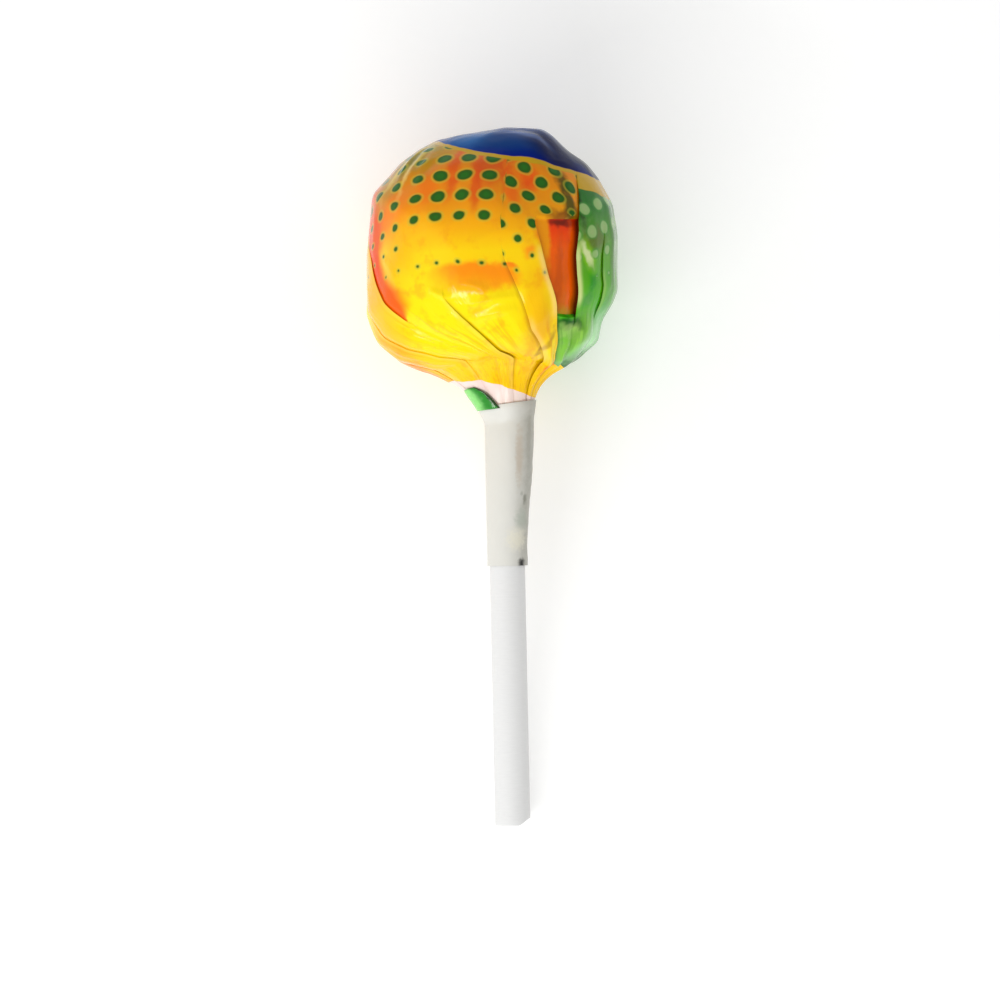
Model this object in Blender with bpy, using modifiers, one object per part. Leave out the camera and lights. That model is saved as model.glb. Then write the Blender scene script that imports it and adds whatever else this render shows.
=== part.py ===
"""A wrapped ball lollipop, lying on its back with the shown side up.

Three pieces: the ball in its printed film, gathered in lapped pleats at the neck; the white sleeve
that holds the gathered film; and the stick, which runs through the sleeve into the ball.

Each piece is modelled upright, with the ball's centre at the origin, the stick down -Z and the shown
side towards -Y. An empty then lays them all down on the ball's flat spot and the stick's lower edge.
"""
import math
import random

import bmesh
import bpy
from mathutils import Matrix, Vector

MM = 0.001

# Ball in its film
BALL_RADIUS = 13.75 * MM
FILM_SLACK = 0.985            # how far in the film is stretched flat between its folds

# Where the ball lies, its film is pressed to a small flat with a few tilted flats round it
FLAT_SPOT_HEIGHT = 12.9 * MM  # ball's centre above the surface it lies on
FLAT_SPOT_REACH = 3.2 * MM    # from the flat's middle to each of its sides
FLAT_SPOT_SIDES = 6
PRESS_TILT = math.radians(20)
PRESS_RADIUS = 13.6 * MM      # the ball there, without its folds
PRESS_FULL = math.cos(math.radians(34))
PRESS_EDGE = math.cos(math.radians(48))
PRESS_SNAP = 0.02 * MM        # points this close to a flat's plane are drawn onto it

# Stick and its sleeve
STICK_OFFSET = 0.98 * MM      # stick's axis beside the ball's centre
STICK_RADIUS = 1.92 * MM
STICK_END = 61.95 * MM        # lower end below the ball's centre
STICK_TOP = 1.0 * MM          # upper end below the ball's centre
STICK_GAP = 0.12 * MM
STICK_SIDES = 32
STICK_SKEW = 0.75 * MM        # how much shorter the cut end is on its right
SKEW_FROM = 0.3               # share of the radius where that starts
SOCKET_TOP = 0.6 * MM

NECK_Z = -15.96 * MM          # middle of the sleeve's top edge
NECK_SLOPE = math.tan(math.radians(6.5))
NECK_LEFT = 2.85 * MM         # neck's reach to each side of the stick's axis
NECK_RIGHT = 3.55 * MM
NECK_GAP = 0.15 * MM

SLEEVE_BOTTOM_Z = -33.6 * MM
SLEEVE_WALL = 0.16 * MM
SLEEVE_SIDES = 40
SLEEVE_RINGS = 14
SLEEVE_LEFT = 2.18 * MM       # snug side of the sleeve
SLEEVE_POCKET = 1.05 * MM     # how much further the loose side stands out below the neck
POCKET_FROM = 0.10            # share of the sleeve's length where the pocket starts to narrow
POCKET_FOCUS = 1.5            # how closely the pocket keeps to the right side
SLEEVE_FLARE = 2.2 * MM       # length of the flared mouth

# Corners of the film seen from the front, in mm beside and above the ball's centre
OUTLINE_CORNERS = (
    (-3.70, 13.40), (1.70, 14.20), (5.70, 14.00), (7.00, 13.10), (8.40, 11.65), (10.45, 10.15),
    (11.85, 8.35), (13.30, 5.60), (13.80, 2.20), (13.60, -3.80), (12.90, -5.30), (11.70, -6.90),
    (11.15, -9.20), (8.80, -11.10), (6.60, -12.25), (-6.75, -12.40), (-10.30, -11.05),
    (-12.50, -8.90), (-13.75, -5.80), (-13.65, 0.70), (-12.90, 7.20), (-9.80, 10.55),
    (-7.50, 12.10), (-5.80, 12.90),
)

# Flat places of the stretched film: (angle from the top, how many round the ball, turn of the first)
FACET_RINGS = ((26, 6, 10), (60, 9, -20), (94, 10, 4), (128, 8, -5))
FACET_SHARPNESS = 34
CORNER_LIMIT = 1.03           # how far out the corners between the flats may stand
OUTLINE_FROM = 0.62           # share of the rim where the front outline starts to count, and where
OUTLINE_FULL = 0.97           # it is all that counts

# Folds of the front, by azimuth at each of these angles from the top, in degrees.
# Azimuth is 0 on the shown side and grows to the right.
FOLD_STATIONS = (35, 55, 75, 90, 100, 110, 125, 140, 150)
LEFT_FLAP = (-70, -80, -88, -74, -68, -57, -40, -12, 2)
FRONT_LAP = (-16, -20, -24, -26, -25, -23, -11, 3, 20)
CENTRE_LAP = (14, 8.5, 4.5, 5, 9.5, 14, 21, 37, 50)
STRIP_EDGE = (40, 30, 20, 23, 26, 31, 37, 47, 62)
GREEN_FOLD = (75, 53, 44, 42, 43, 45, 48, 60, 78)
SIDE_FOLD = (100, 76, 64, 61, 61, 64, 70, 82, 97)
# Each fold's azimuths, where it starts, its depth in mm, which side lies on top (1 left, -1 right)
# and how many steps the panel to its right takes
FRONT_FOLDS = (
    (LEFT_FLAP, 76, 0.45, 1, 8),
    (FRONT_LAP, 96, 0.45, 1, 6),
    (CENTRE_LAP, 80, 0.45, -1, 4),
    (STRIP_EDGE, 66, 0.35, 1, 4),
    (GREEN_FOLD, 45, 0.45, -1, 4),
    (SIDE_FOLD, 70, 0.30, -1, 5),
)
BACK_FOLDS = 7
BACK_FOLD_START = (84, 108)
BACK_FOLD_DEPTH = (0.25, 0.42)
BACK_FOLD_JITTER = 0.16
BACK_PANEL_STEPS = 5
FOLD_RUN = 30                 # degrees over which a fold reaches its full depth
FOLD_WIDTH = 1.6              # degrees of azimuth that the drop at a fold's edge takes
PANEL_BOW = 0.30 * MM         # how far a panel bellies out between two folds near the neck
BOW_START = 92
NECK_FOLD_SHARE = 0.35        # what is left of a fold's depth where the sleeve grips it
SEED = 27

# The narrow strip between two front folds lies deeper, down to a tuck where the green film covers it
STRIP_PANEL = 3
STRIP_DEPTH = 0.40 * MM
STRIP_TOP = (60, 70)
STRIP_TUCK = (118.0, 119.5)

UPPER_RINGS = 22              # rings from the top down to the tuck
LOWER_RINGS = 6               # rings from the tuck down to the neck
BALL_END = 150                # angle from the top where the ball turns into the neck
# The neck's rings: share of the way to the hem, share of the rest, and whether it is inside the hem
CONE_RINGS = ((0.35, 0, False), (0.7, 0, False), (1, 0, False), (1, 0.08, True), (1, 0.5, True))
HEM_DEPTH = 0.28 * MM
HEM_MIDDLE = 0.62             # where the hem lies between ball and sleeve, lower on its right
HEM_SWING = 0.30
CONE_SAG = 0.45 * MM


def smoothstep(low, high, value):
    """Ease from 0 at low to 1 at high."""
    part = min(max((value - low) / (high - low), 0.0), 1.0)
    return part * part * (3.0 - 2.0 * part)


def along(stations, values, place):
    """Read a value between stations by straight interpolation."""
    if place <= stations[0]:
        return values[0]
    for index in range(1, len(stations)):
        if place <= stations[index]:
            part = (place - stations[index - 1]) / (stations[index] - stations[index - 1])
            return values[index - 1] + part * (values[index] - values[index - 1])
    return values[-1]


def direction(azimuth, polar):
    """Unit vector at an azimuth and an angle from the top, both in degrees."""
    a = math.radians(azimuth)
    t = math.radians(polar)
    return Vector((math.sin(t) * math.sin(a), -math.sin(t) * math.cos(a), math.cos(t)))


def lying_tilt():
    """Angle of the stick when the ball's flat spot and the stick's lower edge both touch."""
    reach = math.hypot(STICK_END, STICK_RADIUS)
    return math.asin(FLAT_SPOT_HEIGHT / reach) - math.atan2(STICK_RADIUS, STICK_END)


TILT = lying_tilt()
DOWN = Vector((0, math.cos(TILT), -math.sin(TILT)))


def facet_normals():
    """Normals of the flat places, spread in rings round the ball."""
    normals = []
    for polar, count, turn in FACET_RINGS:
        for index in range(count):
            normals.append(direction(turn + 360.0 * index / count, polar))
    return normals


FACETS = facet_normals()


def faceted_radius(unit):
    """Distance to the stretched film along a direction, with its flats softly joined."""
    total = 0.0
    for normal in FACETS:
        facing = normal.dot(unit)
        if facing > 0:
            total += facing ** FACET_SHARPNESS
    return BALL_RADIUS * FILM_SLACK * min(total ** (-1.0 / FACET_SHARPNESS), CORNER_LIMIT)


def outline_radius(unit):
    """Distance to the front outline's polygon along a direction seen from the front."""
    ray = Vector((unit.x, unit.z)).normalized()
    nearest = BALL_RADIUS
    count = len(OUTLINE_CORNERS)
    for index in range(count):
        start = Vector(OUTLINE_CORNERS[index]) * MM
        edge = Vector(OUTLINE_CORNERS[(index + 1) % count]) * MM - start
        across = ray.x * edge.y - ray.y * edge.x
        if abs(across) < 1e-12:
            continue
        distance = (start.x * edge.y - start.y * edge.x) / across
        share = (start.x * ray.y - start.y * ray.x) / across
        if distance > 0 and 0 <= share <= 1:
            nearest = distance
    return nearest


def pressed_share(unit):
    """How far a direction belongs to the pressed underside, from 0 to 1."""
    return smoothstep(PRESS_EDGE, PRESS_FULL, unit.dot(DOWN))


def ball_radius(unit):
    """Film radius before the folds: the outline's own at the rim, the flats elsewhere."""
    radius = faceted_radius(unit)
    rim = math.hypot(unit.x, unit.z)
    if rim > OUTLINE_FROM:
        share = smoothstep(OUTLINE_FROM, OUTLINE_FULL, rim)
        radius += share * (outline_radius(unit) - radius)
    return radius + pressed_share(unit) * (PRESS_RADIUS - radius)


def all_folds():
    """Every fold in order of azimuth: the front's, then the back's, spread with a seeded jitter."""
    draw = random.Random(SEED)
    folds = list(FRONT_FOLDS)
    for index in range(BACK_FOLDS):
        share = (index + 1 + draw.uniform(-BACK_FOLD_JITTER, BACK_FOLD_JITTER)) / (BACK_FOLDS + 1)
        path = [last + share * (first + 360 - last) for first, last in zip(LEFT_FLAP, SIDE_FOLD)]
        start = draw.uniform(*BACK_FOLD_START)
        depth = draw.uniform(*BACK_FOLD_DEPTH)
        folds.append((path, start, depth, 1, BACK_PANEL_STEPS))
    return folds


FOLDS = all_folds()
COLUMNS = [(index, step / fold[4]) for index, fold in enumerate(FOLDS) for step in range(fold[4] + 1)]


def fold_azimuth(index, polar):
    """Azimuth of a fold at an angle from the top, even round the pole and on its path below."""
    turns, index = divmod(index, len(FOLDS))
    even = LEFT_FLAP[0] + 360.0 * index / len(FOLDS)
    path = along(FOLD_STATIONS, FOLDS[index][0], polar)
    share = smoothstep(0, FOLD_STATIONS[0], polar)
    return even + share * (path - even) + 360.0 * turns


def fold_depth(index, polar):
    """Signed depth of a fold: positive where the panel on its left lies on top."""
    _, start, depth, side, _ = FOLDS[index % len(FOLDS)]
    return side * depth * MM * smoothstep(start, start + FOLD_RUN, polar)


def strip_drop(polar):
    """How deep the narrow strip lies, down to its tuck."""
    return STRIP_DEPTH * smoothstep(*STRIP_TOP, polar) * (1 - smoothstep(*STRIP_TUCK, polar))


def column_place(column, polar):
    """Azimuth of a column of the film, and how far it stands out for laps and bows."""
    index, share = COLUMNS[column]
    left = fold_azimuth(index, polar) + FOLD_WIDTH / 2
    right = fold_azimuth(index + 1, polar) - FOLD_WIDTH / 2
    azimuth = left + share * (right - left)
    lap = (share - 1) * fold_depth(index, polar) / 2 + share * fold_depth(index + 1, polar) / 2
    bow = PANEL_BOW * 4 * share * (1 - share) * smoothstep(BOW_START, BALL_END, polar)
    drop = strip_drop(polar) if index == STRIP_PANEL else 0
    return azimuth, lap + bow - drop


def ball_point(column, polar):
    """A point of the film on the ball."""
    azimuth, lift = column_place(column, polar)
    unit = direction(azimuth, polar)
    return unit * (ball_radius(unit) + lift * (1 - pressed_share(unit)))


def neck_reach(azimuth):
    """Neck's radius round the stick's axis at an azimuth."""
    to_right = (1 + math.sin(math.radians(azimuth))) / 2
    return NECK_LEFT + to_right * (NECK_RIGHT - NECK_LEFT)


def ring_point(azimuth, radius, height):
    """A point round the stick's axis."""
    a = math.radians(azimuth)
    return Vector((STICK_OFFSET + radius * math.sin(a), -radius * math.cos(a), height))


def neck_height(x):
    """Height of the slanted end of the film at a place across the neck."""
    return NECK_Z + NECK_SLOPE * (x - STICK_OFFSET)


def neck_point(column, radius_share):
    """A point on the end face of the film, from its outer edge (1) to the socket (0)."""
    azimuth, lift = column_place(column, BALL_END)
    outer = neck_reach(azimuth) + lift * NECK_FOLD_SHARE
    inner = STICK_RADIUS + STICK_GAP
    point = ring_point(azimuth, inner + radius_share * (outer - inner), 0)
    point.z = neck_height(point.x)
    return point


def cone_point(column, to_hem, past_hem, inside):
    """A point on the film where it closes in from the ball to the neck."""
    azimuth, _ = column_place(column, BALL_END)
    hem = HEM_MIDDLE + HEM_SWING * math.sin(math.radians(azimuth))
    share = hem * to_hem + (1 - hem) * past_hem
    point = ball_point(column, BALL_END).lerp(neck_point(column, 1), share)
    inward = Vector((STICK_OFFSET - point.x, -point.y, 0)).normalized()
    sag = CONE_SAG * 4 * share * (1 - share)
    step = HEM_DEPTH * (1 - share) if inside else 0
    return point + inward * (sag + step) + Vector((0, 0, sag / 2))


def socket_point(column):
    """A point at the top of the hole that the stick sits in."""
    azimuth, _ = column_place(column, BALL_END)
    return ring_point(azimuth, STICK_RADIUS + STICK_GAP, -SOCKET_TOP)


def ball_ring_angles():
    """Angles from the top of the ball's rings, with two close ones at the strip's tuck."""
    upper = [STRIP_TUCK[0] * index / UPPER_RINGS for index in range(UPPER_RINGS + 1)]
    left_over = BALL_END - STRIP_TUCK[1]
    return upper + [STRIP_TUCK[1] + left_over * index / LOWER_RINGS for index in range(LOWER_RINGS + 1)]


RING_ANGLES = ball_ring_angles()


def film_point(column, ring):
    """Place of one vertex of the head: ball, cone, end face, then the socket's wall."""
    if ring < len(RING_ANGLES):
        return ball_point(column, RING_ANGLES[ring])
    ring -= len(RING_ANGLES)
    if ring < len(CONE_RINGS):
        return cone_point(column, *CONE_RINGS[ring])
    ring -= len(CONE_RINGS)
    if ring == 0:
        return neck_point(column, 1)
    if ring == 1:
        return neck_point(column, 0)
    return socket_point(column)


def make_material(name, colour, roughness):
    """A plain Principled material."""
    material = bpy.data.materials.new(name)
    material.use_nodes = True
    shader = material.node_tree.nodes["Principled BSDF"]
    shader.inputs["Base Color"].default_value = (*colour, 1)
    shader.inputs["Roughness"].default_value = roughness
    shader.inputs["Metallic"].default_value = 0
    material.diffuse_color = (*colour, 1)
    return material


def add_object(name, bm, material, parent, collection):
    """Turn a bmesh into a named object under the lying-down empty."""
    mesh = bpy.data.meshes.new(name)
    bm.to_mesh(mesh)
    bm.free()
    mesh.materials.append(material)
    mesh.shade_smooth()
    piece = bpy.data.objects.new(name, mesh)
    piece.parent = parent
    collection.objects.link(piece)
    return piece


def cut_flat(bm, point, normal):
    """Press the film flat to a plane, closing the cut with one face."""
    geometry = bm.verts[:] + bm.edges[:] + bm.faces[:]
    cut = bmesh.ops.bisect_plane(
        bm, geom=geometry, dist=PRESS_SNAP, plane_co=point, plane_no=normal, clear_outer=True
    )
    rim = [item for item in cut["geom_cut"] if isinstance(item, bmesh.types.BMEdge)]
    bmesh.ops.contextual_create(bm, geom=rim)


def press_underside(bm):
    """Make the flat that the ball lies on, and the tilted flats round it."""
    middle = DOWN * FLAT_SPOT_HEIGHT
    for index in range(FLAT_SPOT_SIDES):
        turn = Matrix.Rotation(2 * math.pi * (index + 0.5) / FLAT_SPOT_SIDES, 3, DOWN)
        outward = turn @ Vector((1, 0, 0))
        normal = DOWN * math.cos(PRESS_TILT) + outward * math.sin(PRESS_TILT)
        cut_flat(bm, middle + outward * FLAT_SPOT_REACH, normal)
    cut_flat(bm, middle, DOWN)
    bmesh.ops.recalc_face_normals(bm, faces=bm.faces[:])


def build_head(parent, collection):
    """The ball in its film, with folds, neck and the stick's socket, as one closed solid."""
    bm = bmesh.new()
    sides = len(COLUMNS)
    rings = len(RING_ANGLES) + len(CONE_RINGS) + 3
    bmesh.ops.create_uvsphere(bm, u_segments=sides, v_segments=rings, radius=1)
    for vert in bm.verts:
        ring = round(math.acos(max(-1.0, min(1.0, vert.co.z))) / math.pi * rings)
        column = round(math.atan2(vert.co.x, -vert.co.y) / (2 * math.pi) * sides) % sides
        if ring == 0:
            vert.co = ball_point(0, 0)
        elif ring == rings:
            vert.co = Vector((STICK_OFFSET, 0, -SOCKET_TOP))
        else:
            vert.co = film_point(column, ring)
    bmesh.ops.triangulate(bm, faces=bm.faces[:])
    press_underside(bm)
    material = make_material("printed_film", (0.90, 0.62, 0.03), 0.2)
    return add_object("wrapped_head", bm, material, parent, collection)


def sleeve_point(angle, share):
    """A point on the sleeve's outside, from its slanted top edge (0) to its straight lower edge (1)."""
    to_right = (1 + math.cos(angle)) / 2
    pocket = SLEEVE_POCKET * (1 - smoothstep(POCKET_FROM, 1.0, share)) * to_right ** POCKET_FOCUS
    body = SLEEVE_LEFT + pocket
    mouth = neck_reach(math.degrees(math.pi / 2 + angle))
    flare = 1 - smoothstep(0.0, SLEEVE_FLARE / (NECK_Z - SLEEVE_BOTTOM_Z), share)
    radius = body + flare * (mouth - body)
    x = STICK_OFFSET + radius * math.cos(angle)
    top = neck_height(x) - NECK_GAP
    return Vector((x, radius * math.sin(angle), top + share * (SLEEVE_BOTTOM_Z - top)))


def build_sleeve(parent, collection):
    """The thin white sleeve round the gathered neck and the upper stick."""
    bm = bmesh.new()
    bmesh.ops.create_cone(bm, cap_ends=False, segments=SLEEVE_SIDES, radius1=1, radius2=1, depth=1)
    uprights = [edge for edge in bm.edges if abs(edge.verts[0].co.z - edge.verts[1].co.z) > 0.5]
    bmesh.ops.subdivide_edges(bm, edges=uprights, cuts=SLEEVE_RINGS - 1, use_grid_fill=True)
    for vert in bm.verts:
        vert.co = sleeve_point(math.atan2(vert.co.y, vert.co.x), 0.5 - vert.co.z)
    material = make_material("white_sleeve", (0.80, 0.78, 0.72), 0.45)
    piece = add_object("neck_sleeve", bm, material, parent, collection)
    wall = piece.modifiers.new("wall", "SOLIDIFY")
    wall.thickness = SLEEVE_WALL
    wall.offset = -1
    return piece


def build_stick(parent, collection):
    """The straight stick, cut a little askew, with a side facet flat on the surface."""
    bm = bmesh.new()
    bmesh.ops.create_cone(
        bm, cap_ends=True, segments=STICK_SIDES, radius1=STICK_RADIUS, radius2=STICK_RADIUS,
        depth=STICK_END - STICK_TOP, matrix=Matrix.Rotation(math.pi / STICK_SIDES, 4, "Z"),
    )
    bmesh.ops.translate(bm, verts=bm.verts[:], vec=(STICK_OFFSET, 0, -(STICK_END + STICK_TOP) / 2))
    for vert in bm.verts:
        if vert.co.z < -STICK_END / 2:
            to_right = (vert.co.x - STICK_OFFSET) / STICK_RADIUS
            vert.co.z += STICK_SKEW * smoothstep(SKEW_FROM, 1.0, to_right)
    return add_object("stick", bm, make_material("white_stick", (0.86, 0.86, 0.85), 0.5), parent, collection)


def main():
    for old in list(bpy.data.objects):
        bpy.data.objects.remove(old, do_unlink=True)
    collection = bpy.data.collections.new("lollipop")
    bpy.context.scene.collection.children.link(collection)

    resting = bpy.data.objects.new("resting_pose", None)
    resting.location = (0, 0, FLAT_SPOT_HEIGHT)
    resting.rotation_euler = (TILT - math.pi / 2, 0, 0)
    collection.objects.link(resting)

    build_head(resting, collection)
    build_sleeve(resting, collection)
    build_stick(resting, collection)


main()
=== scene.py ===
"""Looks of a wrapped ball lollipop that lies on a pale floor with its shown side up.

The ball's printed film, its inner white layer, the sleeve and the stick are modelled upright, with the
ball's centre at the origin, the stick down -Z and the shown side towards -Y, and then laid down.
Azimuth is 0 on the shown side and grows to its right, polar angle is 0 at the top of the ball.
"""
from __future__ import annotations

import logging
import math
import random
from dataclasses import dataclass, field
from enum import Enum
from typing import Any, Mapping, Sequence

import bmesh
import bpy
import numpy as np
from mathutils import Matrix, Vector, noise


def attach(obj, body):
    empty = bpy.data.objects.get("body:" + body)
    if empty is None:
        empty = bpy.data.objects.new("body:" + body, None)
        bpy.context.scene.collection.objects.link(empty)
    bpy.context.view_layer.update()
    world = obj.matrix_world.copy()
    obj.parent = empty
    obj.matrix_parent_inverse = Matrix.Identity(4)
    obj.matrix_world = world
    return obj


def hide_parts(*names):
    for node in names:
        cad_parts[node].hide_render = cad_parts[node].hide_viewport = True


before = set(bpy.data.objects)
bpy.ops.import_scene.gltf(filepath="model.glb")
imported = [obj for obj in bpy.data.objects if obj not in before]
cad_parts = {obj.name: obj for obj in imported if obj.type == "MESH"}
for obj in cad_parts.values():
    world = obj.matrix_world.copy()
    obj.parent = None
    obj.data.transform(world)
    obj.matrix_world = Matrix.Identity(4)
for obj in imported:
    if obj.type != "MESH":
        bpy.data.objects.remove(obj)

LOG = logging.getLogger("lollipop")
MM = 0.001
NO_LENGTH = 1e-8
Array = np.ndarray
Tree = bpy.types.NodeTree
Socket = bpy.types.NodeSocket
Material = bpy.types.Material
Piece = bpy.types.Object
Inks = list[tuple[Socket, str]]
SMOOTH = {"interpolation_type": "SMOOTHSTEP"}
COLOUR = {"data_type": "RGBA"}


def smoothstep(low: float, high: float, value: Array | float) -> Array:
    """Ease from 0 at low to 1 at high.

    Args:
        low: Where the result leaves 0.
        high: Where the result reaches 1.
        value: Number or array to read.

    Returns:
        The eased share, of the value's own shape.
    """
    part = np.clip((np.asarray(value) - low) / (high - low), 0.0, 1.0)
    return part * part * (3.0 - 2.0 * part)


def direction(azimuth: Array | float, polar: Array | float) -> Array:
    """Turn an azimuth and a polar angle into a unit vector.

    Args:
        azimuth: Degrees round the ball from the shown side.
        polar: Degrees from the top.

    Returns:
        Unit vectors in the last axis of the array.
    """
    a = np.radians(azimuth)
    t = np.radians(polar)
    return np.stack((np.sin(t) * np.sin(a), -np.sin(t) * np.cos(a), np.cos(t) + 0 * a), axis=-1)


def rightness(azimuth: Array) -> Array:
    """How far to the right an azimuth looks, from 0 at the left to 1."""
    return (1 + np.sin(np.radians(azimuth))) / 2


def carry_down(values: Array, below: int) -> Array:
    """Give as many rings below the ball the values of its last ring."""
    return np.concatenate((values, np.repeat(values[-1:], below, axis=0)))


def soften(values: Array, reach: int, closed: bool = False) -> Array:
    """Round off the corners of a sampled curve.

    Args:
        values: Samples of the curve.
        reach: How many samples to each side are averaged.
        closed: Whether the curve's ends join.

    Returns:
        The softened samples.
    """
    weights = np.hanning(2 * reach + 3)[1:-1]
    padded = np.pad(values, reach, mode="wrap" if closed else "edge")
    return np.convolve(padded, weights / weights.sum(), mode="valid")


def linear(colour: str) -> tuple[float, float, float, float]:
    """Turn an sRGB hex colour into linear light.

    Args:
        colour: Colour such as "#FFC800".

    Returns:
        Linear red, green, blue and alpha.
    """
    levels = [int(colour[start:start + 2], 16) / 255 for start in (1, 3, 5)]
    light = [level / 12.92 if level <= 0.04045 else ((level + 0.055) / 1.055) ** 2.4 for level in levels]
    return light[0], light[1], light[2], 1.0


def add_node(
    tree: Tree,
    kind: str,
    settings: Mapping[str, Any] | None = None,
    links: Mapping[int | str, Any] | None = None,
) -> bpy.types.Node:
    """Add a node with its settings and links.

    Args:
        tree: Node tree of the material.
        kind: Node type to add.
        settings: Node properties to set.
        links: Inputs by name or number, each with a value or the socket that feeds it.

    Returns:
        The new node.
    """
    node = tree.nodes.new(kind)
    for name, value in (settings or {}).items():
        setattr(node, name, value)
    for key, value in (links or {}).items():
        if isinstance(value, Socket):
            tree.links.new(value, node.inputs[key])
        else:
            node.inputs[key].default_value = value
    return node


def empty_material(name: str) -> tuple[Material, Tree]:
    """Make a material that has no nodes yet.

    Args:
        name: Name of the material.

    Returns:
        The material and its node tree.
    """
    material = bpy.data.materials.new(name)
    material.use_nodes = True
    material.node_tree.nodes.clear()
    return material, material.node_tree


def print_inks(tree: Tree, colour: Any, layers: Inks) -> Any:
    """Print inks over a ground, one on top of the other.

    Args:
        tree: Node tree of the material.
        colour: Ground, as a linear colour or the socket that gives it.
        layers: Mask and ink of each layer, from below.

    Returns:
        Socket of the printed colour.
    """
    for mask, ink in layers:
        laid = add_node(tree, "ShaderNodeMix", COLOUR, {0: mask, 6: colour, 7: linear(ink)})
        colour = laid.outputs[2]
    return colour


class Over(Enum):
    """Which panel of film lies on top at a fold."""

    LEFT = 1
    RIGHT = -1


class Zone(Enum):
    """Printed area that a panel of film shows."""

    YELLOW = 0
    GREEN = 1
    STRIP = 2
    INNER = 3


@dataclass(frozen=True)
class DotSheet:
    """Where the printed dot grid lies on a panel.

    The grid is laid flat on the ball at one point and turned there.
    """

    azimuth: float
    polar: float
    turn: float = 0.0
    across: float = 2.75
    down: float = 2.55
    start: tuple[float, float] = (0.15, 1.2)
    ball: float = 13.75

    def cells(self, unit: Array) -> tuple[Array, Array]:
        """Count the grid's cells from its first dot.

        Args:
            unit: Directions on the ball.

        Returns:
            Cells across and cells up, whole numbers at the dots' middles.
        """
        middle = direction(self.azimuth, self.polar)
        right = direction(self.azimuth + 90, 90)
        up = np.cross(right, middle)
        up = up if up[2] > 0 else -up
        facing = np.clip(unit @ middle, -1, 1)
        reach = self.ball * np.arccos(facing) / np.sqrt(np.maximum(1 - facing ** 2, 1e-9))
        x, y = reach * (unit @ right), reach * (unit @ up)
        turn = math.radians(self.turn)
        along = x * math.cos(turn) + y * math.sin(turn)
        rise = y * math.cos(turn) - x * math.sin(turn)
        return (along - self.start[0]) / self.across, (rise - self.start[1]) / self.down


@dataclass(frozen=True)
class Fold:
    """One fold of the film, from where it starts down to the neck, and the panel to its right."""

    path: Sequence[float]
    start: float
    depth: float
    over: Over
    columns: int
    zone: Zone
    sheet: DotSheet
    fade: float = 1.0
    # The rim is a painted highlight along the fold's edge, partly the doubled film's paler edge; the shade
    # is painted shade in the fold's tuck.
    rim: float = 0.3
    rim_from: float = 80.0
    rim_to: float = 180.0
    painted_shade: float = 0.6
    ease: float = 1.0

    def depth_at(self, polar: Array, run: float) -> Array:
        """Give the step at the fold.

        Args:
            polar: Angles from the top.
            run: Degrees over which the fold reaches its full depth.

        Returns:
            Depth in mm.
        """
        grown = self.ease * self.depth * smoothstep(self.start, self.start + run, polar)
        return grown * (1 - (1 - self.fade) * smoothstep(112, 124, polar))

    def rim_at(self, polar: Array) -> Array:
        """Give the strength of the pale rim along the fold, from 0 to 1: a painted highlight, partly the
        doubled film's paler edge.
        """
        shown = smoothstep(self.rim_from - 4, self.rim_from + 4, polar)
        return self.rim * shown * (1 - smoothstep(self.rim_to - 4, self.rim_to + 4, polar))


@dataclass(frozen=True)
class Crease:
    """A ridge (or valley, where its height is below 0) pressed into the film along a line."""

    path: tuple[tuple[float, float], ...]
    height: float
    width: float

    def height_at(self, unit: Array, ball: float) -> Array:
        """Give the crease's height over the film.

        Args:
            unit: Directions on the ball.
            ball: Ball radius in mm.

        Returns:
            Height in mm, falling off to both sides and to both ends.
        """
        nodes = [direction(*spot) for spot in self.path]
        nearest = np.full(unit.shape[:-1], 1e3)
        place = np.zeros(unit.shape[:-1])
        for index, (first, last) in enumerate(zip(nodes, nodes[1:])):
            step = last - first
            share = np.clip((unit - first) @ step / (step @ step), 0, 1)
            away = np.linalg.norm(unit - first - share[..., None] * step, axis=-1) * ball
            closer = away < nearest
            nearest = np.where(closer, away, nearest)
            place = np.where(closer, (index + share) / (len(nodes) - 1), place)
        ends = np.sin(np.pi * np.clip(place, 0, 1)) ** 0.6
        return self.height * ends * np.exp(-((nearest / self.width) ** 1.5))


@dataclass
class LyingPose:
    """How the upright lollipop is laid down on its flat spot and the stick's end."""

    height: float = 12.9 * MM
    stick_end: float = 61.95 * MM
    stick_radius: float = 1.92 * MM

    @property
    def tilt(self) -> float:
        """Angle of the stick above the floor, in radians."""
        reach = math.hypot(self.stick_end, self.stick_radius)
        return math.asin(self.height / reach) - math.atan2(self.stick_radius, self.stick_end)

    @property
    def down(self) -> Array:
        """Direction of the floor, seen from the upright lollipop."""
        return np.array((0, math.cos(self.tilt), -math.sin(self.tilt)))

    @property
    def matrix(self) -> Matrix:
        """Transform from the upright lollipop to the lying one."""
        turn = Matrix.Rotation(self.tilt - math.pi / 2, 4, "X")
        return Matrix.Translation((0, 0, self.height)) @ turn

    def lay_down(self, points: Array) -> Array:
        """Move upright points to where they lie.

        Args:
            points: Points in metres, one in each row.

        Returns:
            The same points on the floor.
        """
        turn = np.array(self.matrix.to_3x3())
        return points @ turn.T + np.array((0, 0, self.height))


STATIONS = (35, 55, 75, 90, 100, 110, 125, 140, 150)
LEFT_SHEET = DotSheet(-16, 55)
RIGHT_SHEET = DotSheet(20, 60, turn=-49, across=2.45, down=2.4, start=(0.3, -0.3))
GREEN_SHEET = DotSheet(62, 80, turn=10, across=2.7, down=2.5, start=(0.35, 3.0))

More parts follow.
